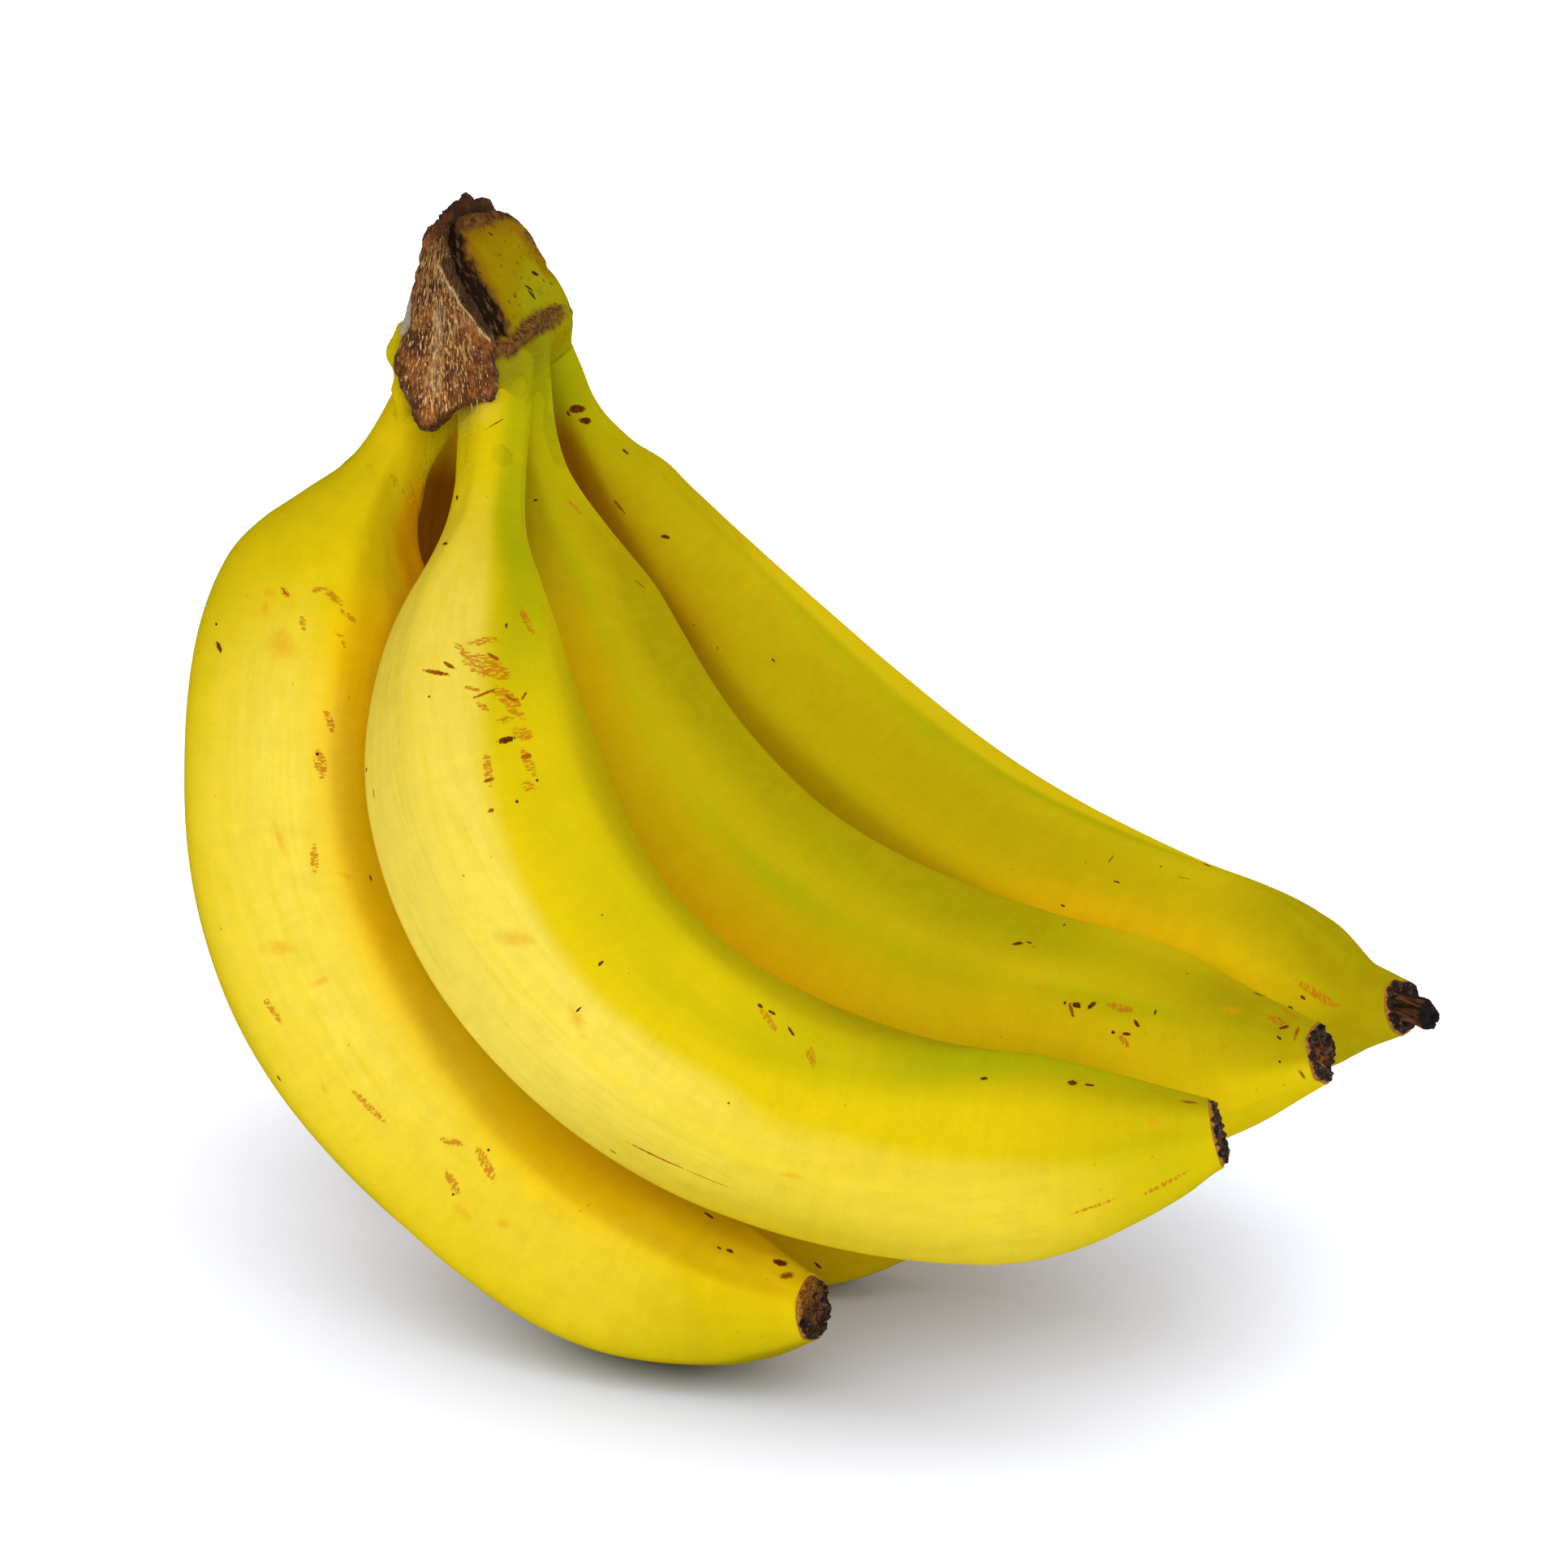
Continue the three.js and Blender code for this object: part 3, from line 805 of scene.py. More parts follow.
# Painted bounce light: orange that grows where neighbouring fruits crowd the skin, on the hidden
# middle outer fruit and, as painted light, on the necks under the dried stem.
def painted_bounce_share(name, u, turn, crowd, straight):
    painted_bounce = crowd**1.5 + 0.12 * noise(straight, (60, 30, 30), 21) * crowd
    painted_bounce = painted_bounce * (1 - 0.6 * smooth(0.72, 0.92, u))
    if name == "outer_front":
        painted_bounce = painted_bounce * (0.7 + 0.4 * smooth(0.36, 0.5, u))
    if name == "outer_middle":
        painted_bounce = painted_bounce + 1.2 * fade(0.35, 0.5, u) + 0.4 * smooth(0.7, 0.9, u)
    if name == "inner_middle":
        painted_bounce = painted_bounce * (1 - 0.7 * smooth(0.5, 0.7, u))
        painted_bounce = painted_bounce + 0.2 * lower_side(turn, -5, 25) * window(u, 0.2, 0.3, 0.6, 0.7)
    if name == "inner_front":
        painted_bounce = painted_bounce * (1 - (0.9 - 0.5 * smooth(0.5, 0.65, u)) * lower_side(turn, 10, 50))
    # Painted light on the necks in the cut face's shadow.
    if name in PAINTED_LIGHT_UNDER_CROWN:
        strength, low, high = PAINTED_LIGHT_UNDER_CROWN[name]
        painted_bounce = painted_bounce + strength * window(u, 0.03, 0.06, low, high) * window(turn, -60, -10, 120, 170)
    return painted_bounce


# Chalky bloom and painted highlight: patchy chalk everywhere, and on the front fruits a painted
# highlight band on the lower one and on the lit lower left side of the upper one.
def chalk_and_highlight_share(name, u, turn, painted_bounce, straight):
    patchy = 0.25 * noise(straight, (50, 22, 22), 22)
    chalk_and_highlight = 0.25 + patchy
    if name == "outer_front":
        chalk_highlight = CHALK_HIGHLIGHT_STRENGTH * band(turn, u, CHALK_HIGHLIGHT_LINE, CHALK_HIGHLIGHT_WIDTH) * smooth(0.08, 0.3, u)
        chalk_and_highlight = (chalk_and_highlight + chalk_highlight) * window(turn, -170, -120, 35, 75) * smooth(0.18, 0.34, u)
    if name == "inner_front":
        past_edge = turn - at_stations(CHALK_HIGHLIGHT_EDGE, u) + 4 * noise(straight, (12, 6, 6), 24)
        chalk_and_highlight = (0.95 + patchy) * lower_side(past_edge, -7, 6) * smooth(0.08, 0.3, u)
    chalk_and_highlight = chalk_and_highlight * (1 - 0.55 * smooth(0.5, 0.75, u))
    chalk_and_highlight = np.clip(chalk_and_highlight * fade(0.85, 1.0, u) - painted_bounce, 0, 1)
    if name == "inner_front":
        # Painted light: paler skin on the upper front fruit's neck just under the cut face, where
        # its shadow falls.
        chalk_and_highlight = np.maximum(chalk_and_highlight, 0.8 * fade(0.045, 0.075, u) * lower_side(turn, -20, 15))
    return chalk_and_highlight if name in BRIGHT else 0.12 * chalk_and_highlight


# Olive share: the skin's own dull tone with painted shade on the fruits further back, and painted
# light and shade on some sides.
def olive_and_shade_share(name, u, turn, crowd):
    upper, lower, tip = OLIVE_AND_SHADE_SHARES[name]
    olive_and_shade = upper + (lower - upper) * smooth(0.22, 0.40, u) + tip * smooth(0.82, 0.96, u)
    olive_and_shade = np.clip(olive_and_shade * smooth(0.05, 0.15, u) * (1 - crowd), 0, 1)
    for amount, on_side, low, high, start, end in PAINTED_SIDE_SHADING.get(name, []):
        there = on_side(turn, low, high) * window(u, *start, *end)
        olive_and_shade = olive_and_shade + amount * there * (1 if amount > 0 else olive_and_shade)
    return np.clip(olive_and_shade, 0, 1)


def tint(name, points, u, angle, straight):
    """Shares of the skin's colour: green, painted bounce orange, chalky bloom with painted
    highlight, olive with painted shade, and deep orange-brown painted shade.
    """
    finger = FINGERS[name]
    turn = (angle + at_stations(finger["roll"], u) + 180) % 360 - 180
    green = green_share(name, u, turn, ridge_distance(finger["ridges"], angle), straight)
    # crowd is how near the neighbouring fruits are; it drives the painted bounce and painted shade
    # in the gaps.
    crowd = nearness(name, points, 8 + 17 * smooth(0.1, 0.35, u)) * smooth(0.04, 0.12, u)
    painted_bounce = painted_bounce_share(name, u, turn, crowd, straight)
    by_neck = fade(0.08, 0.18, u) if name == "outer_front" else fade(0.16, 0.30, u)
    # Painted shade in the gaps: from how crowded the skin is near the necks, and from the painted
    # bounce further along.
    between = (0.45 if name in BRIGHT else 0.8) * smooth(0.85, 1.0, painted_bounce)
    painted_shade = 0.95 * smooth(0.45, 0.95, crowd) * by_neck + between * (1 - by_neck)
    for places, width, strength, start, end in PAINTED_SHADE_BANDS.get(name, []):
        shade = band(turn, u, places, width, 4) * window(u, start, start + 0.05, end - 0.12, end)
        painted_shade = np.maximum(painted_shade, strength * shade)
        painted_bounce = np.maximum(painted_bounce, 0.9 * shade)
    green = np.clip(green * (1 - 0.6 * crowd), 0, 1)
    chalk_and_highlight = chalk_and_highlight_share(name, u, turn, painted_bounce, straight) * (1 - green)
    return green, np.clip(painted_bounce, 0, 1), chalk_and_highlight, olive_and_shade_share(name, u, turn, crowd), painted_shade


# Marks on the skins, by the image pixels that they are seen at: both ends of the mark's
# long axis and its half width.
SOFT_MARKS = [
    (615, 1153, 655, 1158, 11), (338, 793, 360, 793, 18), (327, 729, 340, 733, 6),
    (325, 742, 329, 758, 5), (325, 1170, 365, 1170, 10), (385, 1215, 412, 1205, 6),
    (420, 1078, 440, 1082, 5), (1275, 1218, 1290, 1216, 7), (1510, 1243, 1530, 1247, 9),
    (1600, 1352, 1612, 1348, 6), (1415, 1379, 1431, 1382, 6), (1404, 1359, 1413, 1361, 3),
    (962, 1445, 990, 1452, 6), (700, 1240, 720, 1270, 8), (395, 1330, 405, 1350, 5),
    (610, 1505, 625, 1512, 7), (1586, 1212, 1594, 1212, 4), (880, 640, 925, 680, 3),
    (568, 505, 600, 500, 9), (340, 1010, 350, 1050, 6), (560, 1490, 575, 1500, 8),
]
SCUFF_MARKS = [
    (572, 808, 630, 836, 15), (575, 792, 618, 786, 6), (560, 796, 572, 797, 4),
    (612, 852, 636, 866, 10), (572, 849, 596, 850, 3), (590, 868, 602, 870, 4),
    (626, 872, 648, 880, 6), (636, 903, 656, 908, 9), (612, 888, 632, 888, 4),
    (597, 930, 607, 972, 6), (640, 925, 660, 950, 7), (640, 966, 662, 974, 6),
    (346, 726, 356, 738, 5), (385, 726, 400, 724, 4), (398, 724, 420, 742, 6),
    (422, 755, 438, 765, 5), (370, 762, 373, 778, 5), (412, 780, 426, 800, 5),
    (404, 878, 412, 905, 6), (388, 925, 400, 958, 9), (384, 1040, 392, 1078, 6),
    (546, 1405, 570, 1410, 6), (585, 1408, 610, 1460, 8), (550, 1440, 566, 1470, 7),
    (425, 1335, 480, 1385, 5), (320, 1225, 345, 1262, 5), (995, 1290, 1003, 1316, 7),
    (1560, 1374, 1600, 1362, 5), (1540, 1388, 1556, 1384, 4), (1575, 1240, 1605, 1258, 4),
    (1560, 1250, 1590, 1266, 8), (1360, 1240, 1400, 1248, 6), (1400, 1476, 1470, 1440, 4),
    (1300, 1528, 1370, 1534, 6), (1310, 1500, 1380, 1474, 3), (935, 1240, 960, 1275, 5),
    (440, 1478, 640, 1626, 4), (695, 610, 716, 632, 4), (1590, 1205, 1655, 1245, 7),
    (640, 745, 662, 790, 5), (660, 770, 720, 960, 4), (1375, 1275, 1390, 1290, 4),
]
DASH_MARKS = [
    (526, 822, 551, 835, 2.4), (550, 818, 560, 825, 2.2), (580, 858, 610, 851, 1.5),
    (598, 962, 608, 962, 1.6), (600, 998, 610, 998, 1.6), (648, 930, 654, 934, 2.6),
    (640, 858, 647, 856, 1.6), (622, 853, 630, 862, 1.6), (628, 863, 634, 866, 1.4),
    (604, 809, 613, 814, 2.2), (346, 726, 355, 738, 1.2), (1318, 1240, 1321, 1254, 2.2),
    (775, 1407, 845, 1440, 1.6), (845, 1440, 905, 1466, 0.8), (755, 615, 768, 630, 1.6),
    (782, 716, 794, 724, 1.8), (1335, 1060, 1338, 1120, 0.8), (1366, 1062, 1374, 1052, 1.2),
    (574, 530, 600, 526, 0.9), (600, 526, 622, 517, 0.9), (576, 536, 590, 538, 0.8),
    (1450, 1080, 1520, 1096, 1.2), (1520, 1096, 1590, 1125, 1.4), (920, 1500, 985, 1555, 1.6),
    (715, 1492, 728, 1486, 0.8), (745, 650, 790, 700, 0.8), (905, 658, 918, 672, 1.6),
]
SPOT_MARKS = [
    (615, 912, 634, 908, 3.0), (660, 965, 661, 966, 1.6),
    (635, 986, 636, 987, 1.6), (460, 976, 461, 977, 1.6), (451, 946, 452, 947, 1.8),
    (527, 861, 528, 862, 1.2), (624, 771, 625, 771, 1.3), (264, 771, 265, 771, 1.4),
    (267, 797, 271, 801, 2.4), (389, 931, 391, 932, 2.0), (1252, 1164, 1259, 1163, 3.4),
    (1266, 1162, 1269, 1162, 1.6), (1272, 1165, 1273, 1165, 1.2), (1309, 1238, 1312, 1239, 1.8),
    (1324, 1239, 1330, 1237, 3.0), (1340, 1238, 1346, 1238, 2.8), (1369, 1270, 1374, 1272, 2.0),
    (1382, 1273, 1388, 1276, 2.0), (1400, 1260, 1404, 1263, 2.0), (1423, 1246, 1424, 1248, 1.4),
    (1544, 1223, 1557, 1228, 1.4), (1563, 1232, 1564, 1232, 1.2), (1577, 1255, 1578, 1255, 1.6),
    (1579, 1268, 1586, 1265, 2.4), (1576, 1278, 1578, 1280, 1.6), (1576, 1308, 1577, 1308, 1.6),
    (1313, 1141, 1315, 1139, 1.4), (1434, 1162, 1435, 1163, 1.8), (1461, 1200, 1462, 1200, 1.2),
    (1487, 1065, 1491, 1068, 3.4), (1210, 1328, 1216, 1326, 1.8), (1317, 1332, 1325, 1335, 3.2),
    (1337, 1335, 1347, 1339, 1.6), (936, 1239, 940, 1241, 1.8), (948, 1247, 954, 1250, 2.0),
    (971, 1265, 981, 1277, 1.6), (895, 1361, 896, 1361, 1.2), (738, 1190, 742, 1188, 1.6),
    (716, 1246, 718, 1244, 1.2), (741, 1127, 742, 1127, 1.0), (705, 503, 715, 503, 5.5),
    (718, 519, 726, 521, 4.0), (699, 509, 701, 511, 1.6), (818, 662, 823, 661, 2.6),
    (563, 612, 564, 614, 2.0), (546, 669, 549, 672, 2.4), (660, 618, 661, 618, 1.4),
    (767, 552, 771, 556, 1.6), (955, 1555, 966, 1557, 4.5), (884, 1536, 887, 1537, 1.8),
    (896, 1539, 902, 1542, 2.6), (806, 1460, 812, 1462, 1.8), (439, 1467, 441, 1469, 1.6),
    (445, 1465, 446, 1465, 1.0), (600, 1417, 601, 1418, 1.8), (555, 1471, 556, 1472, 1.6),
    (343, 1328, 344, 1329, 1.2), (1004, 1556, 1012, 1562, 1.6), (870, 1494, 878, 1500, 2.2),
    (1604, 1228, 1607, 1230, 1.6), (1590, 1241, 1594, 1243, 1.8), (456, 1080, 457, 1082, 1.6),
    (1375, 1087, 1377, 1088, 1.4), (1427, 1068, 1429, 1069, 1.4), (1358, 1533, 1364, 1536, 2.6),
    (755, 1418, 762, 1422, 1.2), (1309, 1113, 1311, 1115, 1.2), (885, 795, 886, 796, 1.2),
    (951, 814, 952, 815, 1.2), (855, 770, 856, 771, 1.0), (850, 580, 853, 583, 1.2),
]
STAIN_MARKS = [
    (975, 1584, 976, 1602, 8), (966, 1573, 974, 1572, 6), (1452, 1357, 1476, 1360, 2.5),
    (1597, 1280, 1600, 1266, 3), (1600, 1318, 1606, 1330, 2.5),
]
MARKS = {"soft": SOFT_MARKS, "scuff": SCUFF_MARKS, "dash": DASH_MARKS, "spot": SPOT_MARKS,
         "stain": STAIN_MARKS}
MARK_SPREAD = 1.2


def pick(px, py, trees, skins):
    """The fruit seen at that pixel and the place there on its unrolled skin."""
    eye = Vector(EYE)
    ray = (Vector(at_pixel(px, py, 0.0)) - eye).normalized()
    hits = [(tree.ray_cast(eye, ray), name) for name, tree in trees.items()]
    hits = [(hit[3], name, hit[2]) for hit, name in hits if hit[0] is not None]
    if not hits:
        return None, None
    _, name, face = min(hits)
    faces, straight = skins[name][1], skins[name][4]
    place = straight[faces[face]].mean(0)
    return (name, place) if place[0] < FINGERS[name]["length"] else (None, None)


def ellipsoid(start, end, half_width):
    """Centre, turn and half sizes of the ellipsoid that reaches half_width past both ends."""
    long_way = Vector(end - start)
    turn = long_way.to_track_quat("X", "Z").to_euler()
    half = (long_way.length / 2 + half_width, half_width, half_width)
    return tuple((start + end) / 2), tuple(turn), half


def placed_marks(skins):
    """Each fruit's marks as (kind, (centre, turn, half sizes)) on its unrolled skin."""
    trees = {name: BVHTree.FromPolygons(skin[0].tolist(), [f.tolist() for f in skin[1]])
             for name, skin in skins.items()}
    placed = {name: [] for name in skins}
    for kind, marks in MARKS.items():
        for x1, y1, x2, y2, half_width in marks:
            name, start = pick(x1, y1, trees, skins)
            other, end = pick(x2, y2, trees, skins)
            if name is None or name != other:
                continue
            placed[name].append((kind, ellipsoid(start, end, half_width * PIXEL * MARK_SPREAD)))
    return placed


SHARES = ("green", "painted_bounce", "chalk_and_highlight", "olive_and_shade", "painted_shade")


def add_fruit(name, skin, marks):
    points, faces, u, angle, straight = skin
    attributes = dict(zip(SHARES, tint(name, points, u, angle, straight)))
    attributes.update(straight=straight, rim=1.0 * (u > LIP_CORKY_FROM))
    material = peel_material("peel_" + name, marks)
    add_piece("skin_" + name, pressed(to_row(points)), faces, attributes, material,
              "banana_" + name)


SKINS = {name: fruit_skin(name) for name in FINGERS}
PLACED = placed_marks(SKINS)
for finger_name in FINGERS:
    add_fruit(finger_name, SKINS[finger_name], PLACED[finger_name])


# ---- the crown

HULL_ROUNDING = 0.6
HULL_GROWTH = 0.3
CROWN_STEP = 0.55
CROWN_LOW = np.array([-78.0, 32.0, -64.0])
CROWN_HIGH = np.array([-22.0, 99.0, 3.0])
NECK_PLACES = np.linspace(0, 0.16, 36)
# Where along a fruit the crown's copy of its neck sinks below the skin and by how many
# millimetres, and the range for a neck that doesn't sink at all.
NECK_SINKS = (0.095, 0.13)
NECK_STAYS = (2, 3)
NECK_DEPTH = 3.0
NECK_GRAIN = 12
NECK_REACH = 44
BLOCK_REACH = 40
FAR_AWAY = 20.0
SIGHT_REACH = 70
SIGHT_STEPS = 1400


def hull_planes(points):
    """The outward planes (normal, distance) of the convex hull."""
    mesh = bmesh.new()
    for p in points:
        mesh.verts.new(p)
    bmesh.ops.convex_hull(mesh, input=mesh.verts)
    middle = np.mean(points, 0)
    planes = []
    for face in mesh.faces:
        corners = [np.array(v.co) for v in face.verts]
        normal = unit(np.cross(corners[1] - corners[0], corners[2] - corners[0]))
        if np.dot(normal, corners[0] - middle) < 0:
            normal = -normal
        planes.append((normal, float(normal @ corners[0])))
    mesh.free()
    return planes


CROWN_PLANES = hull_planes(np.array(CROWN_NEAR + CROWN_MIDDLE + CROWN_FAR, float))


def from_hull(points):
    """Distance to the crown's block, with its edges rounded."""
    total = 0
    for normal, reach in CROWN_PLANES:
        total = total + np.exp(np.clip((points @ normal - reach) / HULL_ROUNDING, -40, 40))
    return HULL_ROUNDING * np.log(total)


def neck_distance(points, finger, sinks):
    """Distance to a neck's own skin, which sinks where it says; with place and angle."""
    line, along, front, side = axis_at(finger, NECK_PLACES)
    best = np.full(len(points), np.inf)
    which = np.zeros(len(points), int)
    for i, p in enumerate(line):
        d = ((points - p) ** 2).sum(1)
        closer = d < best
        best[closer] = d[closer]
        which[closer] = i
    away = points - line[which]
    beyond = (away * along[which]).sum(1)
    u = np.clip(NECK_PLACES[which] + beyond / finger["length"], 0, 1)
    radial = away - along[which] * beyond[:, None]
    turn = np.arctan2((radial * side[which]).sum(1), (radial * front[which]).sum(1))
    angle = (np.degrees(turn) - at_stations(finger["roll"], u)) % 360
    reach = radius(finger, u) * flats(finger["ridges"], angle) - NECK_DEPTH * smooth(*sinks, u) ** 2
    before = np.maximum(-beyond - 0.5, 0) * (which == 0)
    after = np.maximum(beyond, 0) * (which == len(line) - 1)
    return np.maximum(np.linalg.norm(radial, axis=1) - reach, (before + after) * 2 - 1), u, angle


def path_distance(points, path):
    """Distance to a line through the path's points, and the share of it passed there."""
    path = np.asarray(path, float)
    steps = np.linalg.norm(np.diff(path, axis=0), axis=1)
    passed = np.concatenate([[0], np.cumsum(steps)])
    best = np.full(len(points), np.inf)
    share = np.zeros(len(points))
    for i, (a, b) in enumerate(zip(path[:-1], path[1:])):
        t = np.clip((points - a) @ (b - a) / steps[i] ** 2, 0, 1)
        d = np.linalg.norm(points - a - t[:, None] * (b - a), axis=1)
        closer = d < best
        best[closer] = d[closer]
        share[closer] = (passed[i] + t[closer] * steps[i]) / passed[-1]
    return best, share


def from_path(points, path):
    return path_distance(points, path)[0]


def on_block(px, py):
    """Where the camera's ray through that pixel meets the block, or the closest it comes."""
    reach = np.linspace(CAMERA_DISTANCE, CAMERA_DISTANCE + SIGHT_REACH, SIGHT_STEPS)[:, None]
    places = EYE + unit(at_pixel(px, py, 0.0) - EYE) * reach
    field = from_hull(places) - HULL_GROWTH
    inside = np.flatnonzero(field < 0)
    return places[inside[0]] if len(inside) else places[np.argmin(field)]


def path_on_block(*pixels):
    return [on_block(px, py) for px, py in pixels]


# The corky lip, the cork along the top and the charred border of the cut, on the block.
LIP_PATH = path_on_block((609, 429), (622, 428), (636, 420), (650, 407), (664, 398), (680, 391),
                         (690, 384))
TOP_PATH = path_on_block((552, 281), (562, 272), (579, 267), (600, 263), (620, 264), (636, 273),
                         (647, 288), (658, 304), (668, 322))
CHAR_PATH = path_on_block((553, 284), (559, 306), (568, 328), (580, 349), (594, 367), (606, 383),
                          (615, 398))
CHAR_TURN = math.radians(-61)
TUFT_PIXELS = [(571, 248), (584, 244), (597, 248), (610, 256)]
TUFT_PATH = path_on_block(*TUFT_PIXELS)
LIME_PATH = path_on_block((655, 385), (668, 350))
# Painted shade: darker green on the block just under the corky lip, where its shadow falls.
PAINTED_SHADE_UNDER_LIP = path_on_block((618, 446), (640, 436), (660, 422))
LIP_RADIUS = 1.05
TOP_RADIUS = 0.7
# The block's rim beside the cut face, and a sleeve of green skin below that.
RIM_PATH = at_pixels([(517, 345), (509, 370), (503, 396), (499, 409)], -10.0)
RIM_RADIUS = 0.7
SLEEVE = at_pixels([(497, 406), (489, 424), (489, 438), (493, 452), (494, 478), (496, 500)], -12.5)
SLEEVE_RADIUS = 1.2
# Small knobs of green skin: pixel place, depth and size.
KNOBS = [(486, 434, -12.5, 1.1), (503, 484, -13, 1.6), (640, 474, -7.5, 1.5)]
# Dark scabs on the block: both ends by image pixel, and half width in millimetres.
SCABS = [(647, 352, 656, 358, 0.35), (652, 360, 658, 367, 0.6), (656, 336, 662, 338, 0.5),
         (633, 364, 635, 366, 0.3), (603, 287, 606, 289, 0.35), (622, 296, 623, 297, 0.2),
         (617, 327, 618, 328, 0.2)]


def from_knobs(points):
    return [np.linalg.norm(points - at_pixel(px, py, depth), axis=1) - size
            for px, py, depth, size in KNOBS]


def crown_field(points):
    """Distance to the crown: its block, the necks that run into it, and its cork and knobs."""
    field = from_hull(points) - HULL_GROWTH
    near = np.abs(field) < BLOCK_REACH
    back = fade(-32, -18, points[:, 2])
    necks = np.full(len(points), FAR_AWAY)
    for finger in FINGERS.values():
        close = near & (np.linalg.norm(points - finger["root"], axis=1) < NECK_REACH)
        distance = np.full(len(points), FAR_AWAY)
        distance[close] = neck_distance(points[close], finger, NECK_SINKS)[0]
        necks = soft_min(necks, distance, 3.2 + 2.4 * back)
    field = soft_min(field, necks, 2.6 + 3.6 * back)
    lip, share = path_distance(points, LIP_PATH)
    lumpy = SLEEVE_RADIUS * (1 + 0.35 * noise(points, 2.2, 36))
    added = [
        (lip - LIP_RADIUS * (0.95 + 0.12 * np.sin(share * 19)), 0.8),
        (from_path(points, TOP_PATH) - TOP_RADIUS, 0.8),
        (from_path(points, RIM_PATH) - RIM_RADIUS, 0.8),
        (from_path(points, SLEEVE) - lumpy, 2.4),
    ]
    for form, reach in added + [(knob, 1.6) for knob in from_knobs(points)]:
        field = soft_min(field, form, reach)
    return field


def crown_masks(points):
    """Shares of cork and char on the crown."""
    speckle = noise(points, 1.6, 31) * 0.5 + noise(points, 0.7, 32) * 0.4
    top, passed = path_distance(points, TOP_PATH)
    char, lower = path_distance(points, CHAR_PATH)
    narrow = 1.5 * smooth(0.45, 0.75, passed)
    cork = np.max([
        fade(1.2, 2.3, from_path(points, LIP_PATH) + 0.6 * speckle),
        fade(1.7, 3.0, top + speckle + narrow),
        fade(2.0, 3.4, from_path(points, TUFT_PATH) + speckle),
        0.75 * fade(1.2, 3.2, char + 1.6 * speckle - 0.8 * lower),
    ], 0)
    return cork, fade(1.0, 2.0, char + 0.9 * speckle - 1.0 * lower)


def add_crown():
    axes = grid_between(CROWN_LOW, CROWN_HIGH, CROWN_STEP)
    grid = np.stack(np.meshgrid(*axes, indexing="ij"), -1)
    field = crown_field(grid.reshape(-1, 3)).reshape(grid.shape[:3])
    points, faces = surface_net(field, CROWN_LOW, CROWN_STEP)
    best = np.full(len(points), np.inf)
    shares = np.zeros((len(SHARES), len(points)))
    along_neck = np.zeros(len(points))
    for name, finger in FINGERS.items():
        distance, u, angle = neck_distance(points, finger, NECK_STAYS)
        turn = np.radians(angle)
        straight = np.stack([u * finger["length"], NECK_GRAIN * np.cos(turn),
                             NECK_GRAIN * np.sin(turn)], 1)
        closer = distance < best
        best = np.minimum(best, distance)
        along_neck[closer] = u[closer]
        shares[:, closer] = np.array(tint(name, points, u, angle, straight))[:, closer]
    cork, black = crown_masks(points)
    normals = vertex_normals(points, faces)
    height = 0.5 * noise(points, 2.6, 33) + 0.2 * noise(points, 1.2, 34)
    height = np.maximum(cork, black) * height + 0.1 * noise(points, 5, 35) - 0.25 * black
    block = fade(-0.2, 4.5, from_hull(points))
    block = block * (1 - smooth(0.07, 0.1, along_neck) * fade(0.5, 2.0, best))
    beside_char = fade(1.5, 8.0, from_path(points, CHAR_PATH))
    points = points + normals * height[:, None]
    green_skin = np.min([*from_knobs(points), from_path(points, SLEEVE) - SLEEVE_RADIUS], 0)
    upper = smooth(58, 64, points[:, 1])
    shares[0] = np.maximum(shares[0], 0.55 * fade(0.5, 5.0, green_skin) * upper)
    attributes = dict(zip(SHARES, shares))
    attributes.update({
        "straight": points, "cork": cork, "char": black, "block": block,
        # pale grey only on the side of the block's rim that faces the front
        "rim_front_pale": fade(0.7, 1.4, from_path(points, RIM_PATH)) * smooth(-0.5, 0.2, normals[:, 2]),
        "lime": fade(1.0, 7.0, from_path(points, LIME_PATH)),
        "under": fade(1.5, 8.0, from_path(points, PAINTED_SHADE_UNDER_LIP)),
        "tuft": fade(2.0, 6.0, from_path(points, TUFT_PATH)),
        "brown": np.maximum(beside_char, 0.75 * fade(2.0, 7.0, from_path(points, TOP_PATH))),
    })
    add_piece("crown_skin", to_row(points), faces, attributes, crown_material(), "crown")


